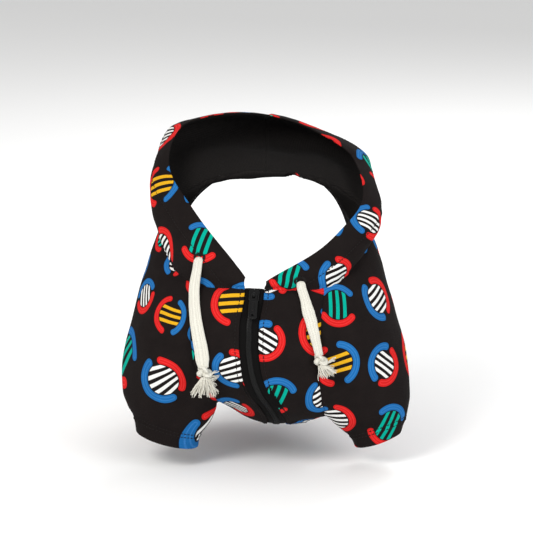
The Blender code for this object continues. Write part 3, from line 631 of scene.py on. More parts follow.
# Each knit and weave below takes its first, darker colour in the low places of its threads, as painted shade.
REVERSE = plain_knit("plain_reverse", linear(18, 17, 17), linear(46, 42, 40), 0.0013)
COTTON = woven("cream_cotton", linear(182, 179, 168), linear(224, 222, 211), 0.85, 0.0016, 0.00035, 0.02)
YARN = woven("cream_yarn", linear(178, 175, 164), linear(226, 223, 212), 0.9, 0.0006, 0.0001, 0.02)
TAPE = woven("zip_tape", linear(5, 5, 5), linear(15, 14, 14), 0.8, 0.0009, 0.00012, 0.0)
THREAD = woven("black_thread", linear(16, 14, 14), linear(40, 37, 36), 0.7, 0.0005, 0.0001, 0.0)
METAL = worn_metal()
COIL = coil_plastic()

# Flat pattern. The axes of each panel are (right, up), as it is seen from outside.
PANEL_AXES = {name: (Vector((1, 0, 0)), Vector((0, 0, 1))) for name in CLOTH_PANELS}
PANEL_AXES["back_panel"] = (Vector((-1, 0, 0)), Vector((0, -1, 0)))
PRINT_SHIFT = {
    "back_panel": (0.010, 0.000), "chest_left": (0.000, 0.000), "chest_right": (0.020, 0.030),
    "sleeve_left": (0.050, 0.020), "sleeve_right": (0.015, 0.060), "hood_left": (0.030, 0.010),
    "hood_right": (0.060, 0.040),
}
INSIDE_POINT = Vector((0, 0, -0.06))
HEM_PANELS = {
    "rim": ("hood_left", "hood_right"), "cuffs": ("sleeve_left", "sleeve_right"),
    "hem": ("back_panel", "chest_left", "chest_right"), "zip": ("chest_left", "chest_right"),
}


def connected(mesh):
    """The groups of faces that hang together."""
    left = set(mesh.faces)
    groups = []
    while left:
        start = left.pop()
        group, heap = [start], [start]
        while heap:
            for edge in heap.pop().edges:
                for other in edge.link_faces:
                    if other in left:
                        left.remove(other)
                        group.append(other)
                        heap.append(other)
        groups.append(group)
    return groups


def solid_of(node, reach):
    """A copy of a CAD node with its loose triangles joined."""
    mesh = bmesh.new()
    mesh.from_mesh(frame["nodes"][node].data)
    bmesh.ops.remove_doubles(mesh, verts=mesh.verts, dist=reach)
    return mesh


def add_mesh(mesh, part):
    """Adds one bmesh to another and frees it."""
    data = bpy.data.meshes.new("part")
    part.to_mesh(data)
    part.free()
    mesh.from_mesh(data)
    bpy.data.meshes.remove(data)


def outer_side(name, wall):
    """A CAD wall cut down to its outer side. A rim face has an edge as long as the wall is thick."""
    panel = solid_of(name, SAME_CORNER)
    rims = [face for face in panel.faces
            if any(abs(edge.calc_length() - wall) < RIM_TOLERANCE for edge in face.edges)]
    bmesh.ops.delete(panel, geom=rims, context="FACES")
    middle = INSIDE_POINT
    if name.startswith("sleeve"):
        middle = sum((vert.co for vert in panel.verts), Vector()) / len(panel.verts)
    kept = set(max(connected(panel), key=lambda group: sum(
        face.calc_area() * face.normal.dot(face.calc_center_median() - middle) for face in group)))
    bmesh.ops.delete(panel, geom=[face for face in panel.faces if face not in kept], context="FACES")
    panel.normal_update()
    return panel


def join_panels():
    """One surface from the outer sides of all panels, with each face's panel as its material index."""
    skin = bmesh.new()
    for index, name in enumerate(CLOTH_PANELS):
        panel = outer_side(name, CAD_CLOTH)
        for face in panel.faces:
            face.material_index = index
        add_mesh(skin, panel)
    bmesh.ops.remove_doubles(skin, verts=skin.verts, dist=SEAM_REACH)
    bmesh.ops.join_triangles(skin, faces=skin.faces, cmp_materials=True, angle_face_threshold=JOIN_ANGLE,
                             angle_shape_threshold=JOIN_ANGLE)
    return skin


def shortest_way(start, panel):
    """The edges of the shortest way inside one panel from a vertex to the panel's open edge."""
    lengths = {start: 0.0}
    ways = {start: []}
    heap = [(0.0, start.index, start)]
    while heap:
        length, _, vert = heapq.heappop(heap)
        if vert.is_boundary:
            return ways[vert]
        for edge in vert.link_edges:
            if any(face.material_index != panel for face in edge.link_faces):
                continue
            other = edge.other_vert(vert)
            reached = length + edge.calc_length()
            if reached < lengths.get(other, math.inf):
                lengths[other] = reached
                ways[other] = ways[vert] + [edge]
                heapq.heappush(heap, (reached, other.index, other))
    return []


def mark_cuts(skin):
    """Marks the cuts of the flat pattern: every seam, and a line down the inside of each sleeve."""
    skin.verts.index_update()
    for edge in skin.edges:
        edge.seam = len({face.material_index for face in edge.link_faces}) == 2
    for name in ("sleeve_left", "sleeve_right"):
        panel = CLOTH_PANELS.index(name)
        corners = [vert for vert in skin.verts if len({face.material_index for face in vert.link_faces}) == 3
                   and any(face.material_index == panel for face in vert.link_faces)]
        for edge in shortest_way(min(corners, key=lambda corner: corner.co.z), panel):
            edge.seam = True


def flat_area(points):
    return abs(sum(a.x * b.y - b.x * a.y for a, b in zip(points, points[1:] + points[:1]))) / 2


def lay_flat(whole):
    """Unwraps every panel at real size, upright as it is seen from its main side."""
    whole.data.uv_layers.new(name="cloth")
    bpy.context.view_layer.objects.active = whole
    bpy.ops.object.mode_set(mode="EDIT")
    bpy.ops.mesh.select_all(action="SELECT")
    bpy.ops.uv.unwrap(method="ANGLE_BASED", margin=0.01)
    bpy.ops.object.mode_set(mode="OBJECT")
    mesh = bmesh.new()
    mesh.from_mesh(whole.data)
    flat = mesh.loops.layers.uv["cloth"]
    for index, name in enumerate(CLOTH_PANELS):
        faces = [face for face in mesh.faces if face.material_index == index]
        loops = [loop for face in faces for loop in face.loops]
        spread = sum(flat_area([loop[flat].uv for loop in face.loops]) for face in faces)
        grow = math.sqrt(sum(face.calc_area() for face in faces) / spread)
        right, up = PANEL_AXES[name]
        look = right.cross(up)
        # Each corner weighs as its face looks along the panel's main direction
        weight = np.array([max(0.0, loop.face.normal.dot(look)) ** 2 for loop in loops])
        here = np.array([complex(*loop[flat].uv) for loop in loops]) * grow
        there = np.array([complex(loop.vert.co.dot(right), loop.vert.co.dot(up)) for loop in loops])
        here = here - (here * weight).sum() / weight.sum()
        middle = (there * weight).sum() / weight.sum()
        turn = (weight * (there - middle) * np.conj(here)).sum()
        placed = here * turn / abs(turn) + middle + complex(*PRINT_SHIFT[name])
        for loop, value in zip(loops, placed):
            loop[flat].uv = (value.real, value.imag)
    mesh.to_mesh(whole.data)
    mesh.free()


def applied(made):
    """The object with its modifiers applied."""
    bpy.context.view_layer.update()
    data = bpy.data.meshes.new_from_object(made.evaluated_get(bpy.context.evaluated_depsgraph_get()))
    made.modifiers.clear()
    made.data = data
    return made


def rounded(made, levels):
    """The object with its facets rounded this many times."""
    soft = made.modifiers.new("soft", "SUBSURF")
    soft.levels = levels
    soft.render_levels = levels
    return applied(made)


def evened(made, rounds):
    """The object with its surface smoothed a little, this many times."""
    even = made.modifiers.new("even", "SMOOTH")
    even.factor = 0.5
    even.iterations = rounds
    return applied(made)


def round_out(made):
    """Rounds the facets of the skin, whose corners first move out by what the rounding takes off them."""
    corners = vectors_of(made.data.vertices, "co")
    trial = bpy.data.objects.new("trial", made.data.copy())
    bpy.context.scene.collection.objects.link(trial)
    shrunk = vectors_of(rounded(trial, SKIN_LEVELS).data.vertices, "co")[:len(corners)]
    bpy.data.objects.remove(trial)
    made.data.vertices.foreach_set("co", (corners + SKIN_RETURN * (corners - shrunk)).ravel())
    rounded(made, SKIN_LEVELS)
    return evened(made, 3)


# Shape of the cloth between its seams and hems
def edge_groups(mesh):
    """The skin's seams and its open edges by their place on the garment."""
    panels = [set() for _ in mesh.edges]
    used = [0] * len(mesh.edges)
    for polygon in mesh.polygons:
        for loop in polygon.loop_indices:
            edge = mesh.loops[loop].edge_index
            panels[edge].add(polygon.material_index)
            used[edge] += 1
    zip_tree = tree_of(evenly(smooth_curve(ZIP_POINTS), LINE_SPACING))
    groups = {label: [] for label in ("seams", "rim", "cuffs", "hem", "zip")}
    for edge, names, count in zip(mesh.edges, panels, used):
        if len(names) == 2:
            groups["seams"].append(edge)
        elif count == 1:
            name = CLOTH_PANELS[min(names)]
            middle = (mesh.vertices[edge.vertices[0]].co + mesh.vertices[edge.vertices[1]].co) / 2
            if name.startswith("hood"):
                groups["rim"].append(edge)
            elif name.startswith("sleeve"):
                groups["cuffs"].append(edge)
            elif zip_tree.find(middle)[2] < ZIP_HALF + ZIP_REACH:
                groups["zip"].append(edge)
            else:
                groups["hem"].append(edge)
    return groups


def tree_of(points):
    tree = KDTree(len(points))
    for index, point in enumerate(points):
        tree.insert(point, index)
    tree.balance()
    return tree


def distances(mesh, places, edges, steps=3):
    """How far each place lies from these edges of the mesh."""
    points = []
    for edge in edges:
        start, end = (mesh.vertices[index].co for index in edge.vertices)
        points += [start.lerp(end, step / steps) for step in range(steps)]
    tree = tree_of(points)
    return np.array([tree.find(place)[2] for place in places])


def vectors_of(items, label):
    values = np.empty(len(items) * 3)
    items.foreach_get(label, values)
    return values.reshape(-1, 3)


def rough(places, scale, shift=0.0):
    """Smooth noise at each place, with waves about 1 / scale metres long."""
    return np.array([noise.noise(Vector(place) * scale + Vector((shift, 0, 0))) for place in places])


def vertices_of(mesh, names):
    """1 at each vertex of these panels and 0 elsewhere."""
    found = np.zeros(len(mesh.vertices))
    for polygon in mesh.polygons:
        if CLOTH_PANELS[polygon.material_index] in names:
            found[list(polygon.vertices)] = 1
    return found


def near(distance, width):
    return np.exp(-(distance / width) ** 2)


def plump(distance, width):
    """A soft tube of this width along an edge, from 0 at both of its sides to 1 between them."""
    return np.sqrt(np.clip(np.sin(np.clip(distance / width, 0, 1) * math.pi), 0, 1))


def shape_cloth(made):
    """Seams sink in, hems and the hood's casing swell, and the cloth between them ripples a little."""
    mesh = made.data
    places = vectors_of(mesh.vertices, "co")
    normals = vectors_of(mesh.vertex_normals, "vector")
    away = {label: distances(mesh, places, edges) for label, edges in edge_groups(mesh).items()}
    ripple = rough(places, PUCKER_SCALE)
    own = {label: vertices_of(mesh, names) for label, names in HEM_PANELS.items()}
    height = -SEAM_DIP * near(away["seams"], SEAM_WIDTH)
    height += SEAM_PUCKER * ripple * near(away["seams"], SEAM_PUCKER_REACH)
    for label, width, swell in HEM_SWELLS:
        distance = away[label]
        share = own[label] * (1 - SEAM_HOLD * near(away["seams"], SEAM_HOLD_REACH))
        height += share * swell * plump(distance, width)
        height -= share * STITCH_DIP * near(distance - width, STITCH_DIP_WIDTH)
        height += share * HEM_PUCKER * ripple * near(distance - width, HEM_PUCKER_REACH)
    for wave, scale, shift in CLOTH_WAVES:
        height += wave * rough(places, scale, shift)
    behind = np.clip((places[:, 1] - FOLDS_FROM) / FOLDS_RUN, 0, 1)
    height += FOLD_DEPTH * behind * rough(places * FOLD_STRETCH, FOLD_SCALE, FOLD_SHIFT)
    height *= 1 - near(np.minimum(away["zip"], away["rim"]), FLAT_EDGE)
    mesh.vertices.foreach_set("co", (places + normals * height[:, None]).ravel())
    mesh.update()
    edge = np.minimum.reduce([away[label] for label in ("rim", "cuffs", "hem", "zip")])
    full = np.clip(edge / EDGE_SOFTNESS, 0, 1)
    wall = np.sqrt(1 - (1 - full) ** 2) * (1 - EDGE_THIN) + EDGE_THIN
    keep_as_attribute(mesh, "wall", "FLOAT", "value", wall)
    return away


def cut_sizes(made):
    """The width, length and area that each panel is cut to."""
    flat = made.data.uv_layers["cloth"].data
    found = {}
    for index, name in enumerate(CLOTH_PANELS):
        polygons = [polygon for polygon in made.data.polygons if polygon.material_index == index]
        corners = [flat[loop].uv for polygon in polygons for loop in polygon.loop_indices]
        size = [max(corner[axis] for corner in corners) - min(corner[axis] for corner in corners)
                for axis in (0, 1)]
        found[name] = (size, sum(polygon.area for polygon in polygons))
    return found


def keep_as_attribute(mesh, name, kind, label, values):
    made = mesh.attributes.new(name, kind, "POINT")
    made.data.foreach_set(label, np.ravel(values))


def split_panels(whole):
    """One closed piece for each panel. All thicken along the same directions, so they meet at the seams."""
    mesh = whole.data
    keep_as_attribute(mesh, "outward", "FLOAT_VECTOR", "vector", vectors_of(mesh.vertex_normals, "vector"))
    for index, name in enumerate(CLOTH_PANELS):
        panel = bmesh.new()
        panel.from_mesh(mesh)
        bmesh.ops.delete(panel, geom=[face for face in panel.faces if face.material_index != index],
                         context="FACES")
        outward = panel.verts.layers.float_vector["outward"]
        wall = panel.verts.layers.float["wall"]
        for face in panel.faces:
            face.material_index = 0
        grown = bmesh.ops.extrude_face_region(panel, geom=list(panel.faces), use_keep_orig=True)["geom"]
        for item in grown:
            if isinstance(item, bmesh.types.BMVert):
                item.co -= item[outward] * item[wall] * CLOTH_THICKNESS
            elif isinstance(item, bmesh.types.BMFace):
                item.material_index = 1
        bmesh.ops.recalc_face_normals(panel, faces=panel.faces)
        panel.verts.layers.float_vector.remove(outward)
        panel.verts.layers.float.remove(panel.verts.layers.float["wall"])
        piece = smooth(at_origin(name.replace("_panel", "") + "_cloth", panel, PRINTED, REVERSE))
        finished(piece, [name])
    bpy.data.objects.remove(whole)


# Lines and sweeps
def smooth_curve(points, steps=CURVE_STEPS):
    """A dense centripetal curve through the points."""
    points = [2 * points[0] - points[1]] + list(points) + [2 * points[-1] - points[-2]]
    curve = []
    for before, start, end, after in zip(points, points[1:], points[2:], points[3:]):
        gaps = (start - before, end - start, after - end)
        run_in, run, run_out = (gap.length ** 0.5 for gap in gaps)
        leave = (start - before) / run_in - (end - before) / (run_in + run) + (end - start) / run
        arrive = (end - start) / run - (after - start) / (run + run_out) + (after - end) / run_out
        for step in range(steps):
            t = step / steps
            curve.append((2 * t**3 - 3 * t**2 + 1) * start + (t**3 - 2 * t**2 + t) * run * leave
                         + (3 * t**2 - 2 * t**3) * end + (t**3 - t**2) * run * arrive)
    return curve + [points[-2]]


def curve_length(curve):
    return sum((b - a).length for a, b in zip(curve, curve[1:]))


def evenly(curve, spacing):
    """Points along a curve at equal distances, close to this spacing."""
    count = max(1, round(curve_length(curve) / spacing))
    spacing = curve_length(curve) / count
    found, walked, wanted = [], 0.0, 0
    for start, end in zip(curve, curve[1:]):
        step = (end - start).length
        while wanted <= count and wanted * spacing <= walked + step + LENGTH_SLACK:
            found.append(start.lerp(end, min(1.0, (wanted * spacing - walked) / max(step, LENGTH_SLACK))))
            wanted += 1
        walked += step
    return found + [curve[-1]] * (count + 1 - len(found))


def grid_through(rows, closed=False):
    """A surface through rows of points, with its real size in its UV map."""
    columns, down = len(rows[0]) - (0 if closed else 1), len(rows) - 1
    if closed:
        rows = [list(row) + [row[0]] for row in rows]
    mesh = bmesh.new()
    bmesh.ops.create_grid(mesh, x_segments=columns, y_segments=down, size=1.0)
    flat = mesh.loops.layers.uv.new("cloth")
    places = {vert: (round((vert.co.y + 1) / 2 * down), round((vert.co.x + 1) / 2 * columns))
              for vert in mesh.verts}
    wide = sum((b - a).length for a, b in zip(rows[down // 2], rows[down // 2][1:])) / columns
    long = curve_length([row[0] for row in rows]) / down
    for face in mesh.faces:
        for loop in face.loops:
            row, column = places[loop.vert]
            loop[flat].uv = (column * wide, row * long)
    for vert, (row, column) in places.items():
        vert.co = rows[row][column]
    if closed:
        bmesh.ops.remove_doubles(mesh, verts=mesh.verts, dist=SAME_POINT)
        bmesh.ops.holes_fill(mesh, edges=[edge for edge in mesh.edges if edge.is_boundary], sides=0)
        bmesh.ops.recalc_face_normals(mesh, faces=mesh.faces)
    return mesh


def run_at(points, index):
    """The direction of a line at one of its points."""
    return (points[min(index + 1, len(points) - 1)] - points[max(index - 1, 0)]).normalized()


def axes_along(points, facing):
    """(along, across, out) at each point of a line whose out side is nearest to the facing vectors."""
    found = []
    for index in range(len(points)):
        along = run_at(points, index)
        across = along.cross(facing[index]).normalized()
        found.append((along, across, across.cross(along).normalized()))
    return found


def level_lines(mesh, away, label, level):
    """The lines on the panels of a hem at this distance from its edge. The mesh is all quads."""
    value = away[label]
    panels = [CLOTH_PANELS.index(name) for name in HEM_PANELS[label]]
    ends = np.array([edge.vertices[:] for edge in mesh.edges])
    below = value < level
    crossed = below[ends[:, 0]] != below[ends[:, 1]]
    quads = np.array([loop.edge_index for loop in mesh.loops]).reshape(-1, 4)
    quads = quads[np.isin([polygon.material_index for polygon in mesh.polygons], panels)]
    links = {}
    for quad in quads[crossed[quads].sum(axis=1) == 2]:
        first, second = (int(edge) for edge in quad[crossed[quad]])
        links.setdefault(first, []).append(second)
        links.setdefault(second, []).append(first)
    places = {}
    for edge in links:
        start, end = ends[edge]
        share = (level - value[start]) / (value[end] - value[start])
        places[edge] = mesh.vertices[start].co.lerp(mesh.vertices[end].co, share)
    lines = []
    left = set(links)
    while left:
        edge = min((edge for edge in left if len(links[edge]) == 1), default=min(left))
        line = []
        while edge is not None:
            left.discard(edge)
            line.append(places[edge])
            edge = next((other for other in links[edge] if other in left), None)
        lines.append(line)
    return [line for line in lines if len(line) > 1 and curve_length(line) > SHORTEST_LINE]


def bead(half_size, columns=6, rows=5):
    """A small rounded shape to be repeated. Its half size is (across, out, along)."""
    mesh = bmesh.new()
    flat = mesh.loops.layers.uv.new("cloth")
    bmesh.ops.create_uvsphere(mesh, u_segments=columns, v_segments=rows, radius=1.0, calc_uvs=True)
    for face in mesh.faces:
        for loop in face.loops:
            loop[flat].uv *= 2 * half_size[2]
    bmesh.ops.scale(mesh, vec=half_size, verts=mesh.verts)
    data = bpy.data.meshes.new("bead")
    mesh.to_mesh(data)
    mesh.free()
    return data


def repeated(shape, places):
    """One bmesh with a copy of the shape at each place, given as matrices."""
    mesh = bmesh.new()
    for place in places:
        part = shape.copy()
        part.transform(place)
        mesh.from_mesh(part)
        bpy.data.meshes.remove(part)
    bpy.data.meshes.remove(shape)
    return mesh


def placed_at(point, across, out, along):
    """The matrix that puts a shape's X, Y and Z along these directions at a point."""
    return Matrix.Translation(point) @ Matrix((across, out, along)).transposed().to_4x4()


def finished(piece, replaced, body="garment"):
    """The piece rides on its body, and the CAD nodes that it replaces are hidden."""
    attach(piece, body)
    if replaced:
        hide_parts(*replaced)
    return piece


# Zip
def zip_line():
    """The middle line of the zip and the outward direction at each of its points, from the neck down."""
    strip = outer_side("zip_chain", CAD_CHAIN)
    inner = {vert for vert in strip.verts if not vert.is_boundary}
    line = [max(inner, key=lambda vert: vert.co.z)]
    while True:
        ahead = [edge.other_vert(line[-1]) for edge in line[-1].link_edges]
        ahead = [vert for vert in ahead if vert in inner and vert not in line]
        if not ahead:
            break
        line.append(min(ahead, key=lambda vert: (vert.co - line[-1].co).length))

    def beyond(end, before):
        run = (end.co - before.co).normalized()
        others = [edge.other_vert(end) for edge in end.link_edges]
        return max(others, key=lambda vert: (vert.co - end.co).normalized().dot(run))

    line = [beyond(line[0], line[1])] + line + [beyond(line[-1], line[-2])]
    outs = [vert.normal.copy() for vert in line]
    points = [vert.co - vert.normal * CAD_CHAIN / 2 for vert in line]
    strip.free()
    top = []
    for node in ("zip_tape_left", "zip_tape_right"):
        corners = {tuple(round(part, 6) for part in vert.co) for vert in frame["nodes"][node].data.vertices}
        top += sorted(corners, key=lambda corner: corner[2])[-4:]
    return [sum(map(Vector, top), Vector()) / len(top)] + points, [outs[0]] + outs


def stations(points, outs, spacing):
    """(place, along, across, out) at equal steps of a smooth line through the points."""
    curve = smooth_curve(points)
    lengths = np.cumsum([0.0] + [(b - a).length for a, b in zip(curve, curve[1:])])
    marks = lengths[::CURVE_STEPS]
    placed = evenly(curve, spacing)
    at = np.linspace(0, lengths[-1], len(placed))
    facing = [Vector([np.interp(value, marks, [out[axis] for out in outs]) for axis in range(3)])
              for value in at]
    return [(place, *axes) for place, axes in zip(placed, axes_along(placed, facing))]


def build_tape(name, side):
    section = [(side * across / 1000, out / 1000) for across, out in TAPE_SECTION]
    rows = [[place + x * across + y * out for x, y in sorted(section)]
            for place, along, across, out in stations(ZIP_POINTS, ZIP_OUTS, TAPE_STEP)]
    tape = smooth(at_origin(name, grid_through(rows), TAPE))
    wall = tape.modifiers.new("wall", "SOLIDIFY")
    wall.thickness = TAPE_THICKNESS
    wall.offset = -1
    return finished(tape, [name.replace("_web", "")])


def build_coil():
    """Two rows of coil turns that mesh with each other, over the cord inside them."""
    places = stations(ZIP_POINTS, ZIP_OUTS, TOOTH_PITCH / 2)
    first = round(SLIDER_DROP / (TOOTH_PITCH / 2))
    turns = []
    for index, (place, along, across, out) in enumerate(places[2:-2]):
        side = 1 if index % 2 else -1
        apart = ZIP_OPENING * max(0.0, 1 - index / first)
        slanted = (across + along * TOOTH_SLANT).normalized()
        centre = place + across * side * (TOOTH_CENTRE + apart) + out * TOOTH_RISE
        turns.append(placed_at(centre, along, out, slanted))
    coil = repeated(bead(TOOTH_HALF_SIZE, 8, 6), turns)
    ring = [math.tau * step / CORE_ROUND for step in range(CORE_ROUND)]
    core = [[place + across * math.cos(angle) * CORE_HALF_WIDTH
             + out * (1 + math.sin(angle)) * CORE_HALF_DEPTH for angle in ring]
            for place, along, across, out in places[2:-2:3]]
    add_mesh(coil, grid_through(core, closed=True))
    return finished(smooth(at_origin("zip_coil", coil, COIL)), ["zip_chain"])


def block(size, centre, corner, taper=1.0):
    """A closed block whose corners are rounded, as it is seen from the front. taper narrows its lower end."""
    mesh = bmesh.new()
    bmesh.ops.create_cube(mesh, size=1.0)
    bmesh.ops.scale(mesh, vec=size, verts=mesh.verts)
    for vert in mesh.verts:
        if vert.co.z < 0:
            vert.co.x *= taper
    through = [edge for edge in mesh.edges
               if abs((edge.verts[0].co - edge.verts[1].co).normalized().y) > 0.9]
    bmesh.ops.bevel(mesh, geom=through, offset=corner, segments=4, profile=0.5, affect="EDGES", material=-1)
    bmesh.ops.translate(mesh, vec=centre, verts=mesh.verts)
    return mesh


def bent_bar(path):
    """A closed bar of the bridge's section along a path in the plane of Y and Z."""
    path = [Vector((0, y, z)) for y, z in path]
    side = Vector((1, 0, 0)) * BRIDGE_WIDTH / 2
    rows = []
    for index, point in enumerate(path):
        out = run_at(path, index).cross(Vector((1, 0, 0))) * BRIDGE_THICKNESS / 2
        row = []
        for step in range(BRIDGE_ROUND):
            angle = math.tau * step / BRIDGE_ROUND
            parts = (math.cos(angle), math.sin(angle))
            x, y = (math.copysign(abs(part) ** BRIDGE_CORNER, part) for part in parts)
            row.append(point + side * x + out * y)
        rows.append(row)
    return grid_through(rows, closed=True)


def cast(name, mesh, rounds=3):
    """One metal casting: the parts melt together and their edges turn soft."""
    made = at_origin(name, mesh, METAL)
    melt = made.modifiers.new("melt", "REMESH")
    melt.mode = "VOXEL"
    melt.voxel_size = CAST_VOXEL
    evened(made, rounds)
    made.data.materials.clear()
    made.data.materials.append(METAL)
    return smooth(made)


def slider_frame():
    """The axes of the slider at the pull's hinge: X across, Y into the garment, Z up the zip."""
    joint = frame["record"]["behaviour"]["joints"][0]
    hinge = Vector(joint["pos_m"])
    across = -Vector(joint["axis"]).normalized()
    outs = stations(ZIP_POINTS, ZIP_OUTS, 2 * LINE_SPACING)
    out = min(outs, key=lambda station: (station[0] - hinge).length)[3]
    up = across.cross(-out).normalized()
    turn = Matrix((across, up.cross(across), up)).transposed().to_4x4()
    return Matrix.Translation(hinge) @ turn


def build_slider(place):
    """Two plates with flanges round the coil, a post between them and an arched bridge."""
    slider = bmesh.new()
    wide, deep, high = FLANGE_PLACE
    for side in (-1, 1):
        centre = (0, HINGE_DEPTH + side * PLATE_OFF, 0)
        add_mesh(slider, block(PLATE_SIZE, centre, PLATE_CORNER, PLATE_TAPER))
        for edge in (-1, 1):
            centre = (edge * wide, HINGE_DEPTH + side * deep, high)
            add_mesh(slider, block(FLANGE_SIZE, centre, FINE_CORNER))
    add_mesh(slider, block(POST_SIZE, (0, HINGE_DEPTH, POST_RISE), POST_CORNER))
    base = HINGE_DEPTH - BRIDGE_FOOT
    lower = [(base - rise, -off) for rise, off in BRIDGE_ARCH]
    upper = [(base - rise, off) for rise, off in BRIDGE_ARCH[-2::-1]]
    add_mesh(slider, bent_bar(lower + upper))
    add_mesh(slider, block(RIDGE_SIZE, (0, base, 0), RIDGE_CORNER))
    slider.transform(place)
    return finished(cast("slider", slider), ["zip_slider"])


def build_pull(place):
    """The pull tab of the part with a raised border and a raised rib down its middle."""
    tab = solid_of("zip_pull", SAME_POINT)
    tab.transform(place.inverted())
    beside, middle = TAB_BORDER_PLACE
    for out in (-RELIEF_OUT, RELIEF_OUT):
        for side, end in zip((-1, 1), TAB_ENDS):
            add_mesh(tab, block(TAB_BORDER_SIZE, (side * beside, out, middle), FINE_CORNER))
            add_mesh(tab, block(TAB_END_SIZE, (0, out, end), FINE_CORNER))
        add_mesh(tab, block(TAB_RIB_SIZE, (0, out, TAB_RIB_DROP), TAB_RIB_CORNER))
    bmesh.ops.recalc_face_normals(tab, faces=tab.faces)
    tab.transform(place)
    return finished(cast("pull", tab), ["zip_pull"], "zip_pull")


def build_stop(node):
    stop = cast(node + "_metal", solid_of(node, SAME_POINT), STOP_EVENING)
    return finished(stop, [node])


# Stitching
def build_stitches(name, lines, cloth):
    """Short stitches in rows along lines on the cloth."""
    places = []
    for line in lines:
        points = evenly(line, (STITCH_LENGTH + STITCH_GAP) / 2)
        facing = [on_cloth(cloth, point)[1] for point in points]
        for place, (along, across, out) in list(zip(points, axes_along(points, facing)))[1:-1:2]:
            places.append(placed_at(place + out * STITCH_WIDTH / 4, -across, out, along))
    mesh = repeated(bead(STITCH_HALF_SIZE), places)
    return finished(smooth(at_origin(name, mesh, THREAD)), [])


def build_buttonhole(name, route, cloth):
    """A ring of close stitches where a cord comes out of the casing."""
    place, out = on_cloth(cloth, Vector(route[0]))
    up = Vector((0, 0, 1))
    up = (up - out * up.dot(out)).normalized()
    across = up.cross(out)
    wide, high = BUTTONHOLE_REACH
    places = []
    for step in range(BUTTONHOLE_STITCHES):
        angle = math.tau * step / BUTTONHOLE_STITCHES
        away = across * math.cos(angle) * wide + up * math.sin(angle) * high
        foot, face = on_cloth(cloth, place + away)
        radial = (away - face * away.dot(face)).normalized()
        places.append(placed_at(foot + face * BUTTONHOLE_RISE, face.cross(radial), face, radial))
    mesh = repeated(bead(BUTTONHOLE_HALF_SIZE), places)
    return finished(smooth(at_origin(name, mesh, THREAD)), [])


def on_cloth(cloth, point):
    """The nearest place on the cloth and its outward direction there."""
    return cloth.find_nearest(point)[:2]


# Cords
def width_axes(node, points):
    """The wide direction of the part's flat cord at each point, smoothed along it."""
    verts = np.array([vert.co for vert in frame["nodes"][node].data.vertices])
    found = []
    for index, point in enumerate(points):
        along = run_at(points, index)
        apart = verts - np.array(point)
        run = apart @ np.array(along)
        near_by = apart[(abs(run) < SLICE_HALF) & (np.linalg.norm(apart, axis=1) < SLICE_REACH)]
        flat = near_by - np.outer(near_by @ np.array(along), np.array(along))
        wide = Vector(np.linalg.eigh(flat.T @ flat)[1][:, 2])
        if found and wide.dot(found[-1]) < 0:
            wide.negate()
        found.append(wide)
    even = []
    for index in range(len(found)):
        around = found[max(0, index - AXIS_REACH):index + AXIS_REACH + 1]
        even.append(sum(around, Vector()).normalized())
    return even


def cord_section(width, thickness):
    """A flat section with round edges and fine ribs on both faces, as (across, out) pairs."""
    section = []
    for step in range(CORD_ROUND):
        angle = math.tau * step / CORD_ROUND
        x = math.copysign(abs(math.cos(angle)) ** CORD_SIDE_CORNER, math.cos(angle))
        y = math.copysign(abs(math.sin(angle)) ** CORD_FACE_CORNER, math.sin(angle))
        rib = 1 + CORD_RIB * math.cos(math.pi * x * CORD_RIBS) * abs(math.sin(angle))
        section.append((x * width / 2, y * thickness / 2 * rib))
    return section


def build_cord(name, node, route, widths):
    """A flat braided cord along a route of points."""
    path = evenly(smooth_curve([Vector(point) for point in route]), CORD_STEP)
    wide = width_axes(node, path)
    length = curve_length(path)
    rows = []
    for index, place in enumerate(path):
        share = index / (len(path) - 1)
        along = run_at(path, index)
        across = (wide[index] - along * wide[index].dot(along)).normalized()
        out = across.cross(along)
        if out.y > 0:
            across, out = -across, -out
        tip = min(1.0, share * length / CORD_TIP)
        full = TIP_WIDTH + (1 - TIP_WIDTH) * math.sqrt(1 - (1 - tip) ** 2)
        width = CORD_WIDTH * np.interp(share, *zip(*widths)) * full
        thickness = CORD_THICKNESS * (TIP_THICKNESS + (1 - TIP_THICKNESS) * full)
        sunk = place - out * CORD_SINK * (1 - tip) ** 2
        wave = noise.noise(Vector((share * CORD_WAVES, 0, route[0][0] * CORD_WAVE_SHIFT))) * CORD_WAVE
        rows.append([sunk + across * (x + wave) + out * (y + wave * x / (CORD_WIDTH / 2))
                     for x, y in cord_section(width, thickness)])
    cord = smooth(at_origin(name, grid_through(rows, closed=True), COTTON))
    finished(cord, [node])
    return cord


def knot_axes(route):
    """The lower end of a cord and the axes there: across, down the cord and out of the garment."""
    curve = smooth_curve([Vector(point) for point in route])
    down = (curve[-1] - curve[-3]).normalized()
    across = Vector((1, 0, 0))
    across = (across - down * across.dot(down)).normalized()
    out = down.cross(across).normalized()
    return curve[-1], across, down, out if out.y < 0 else -out


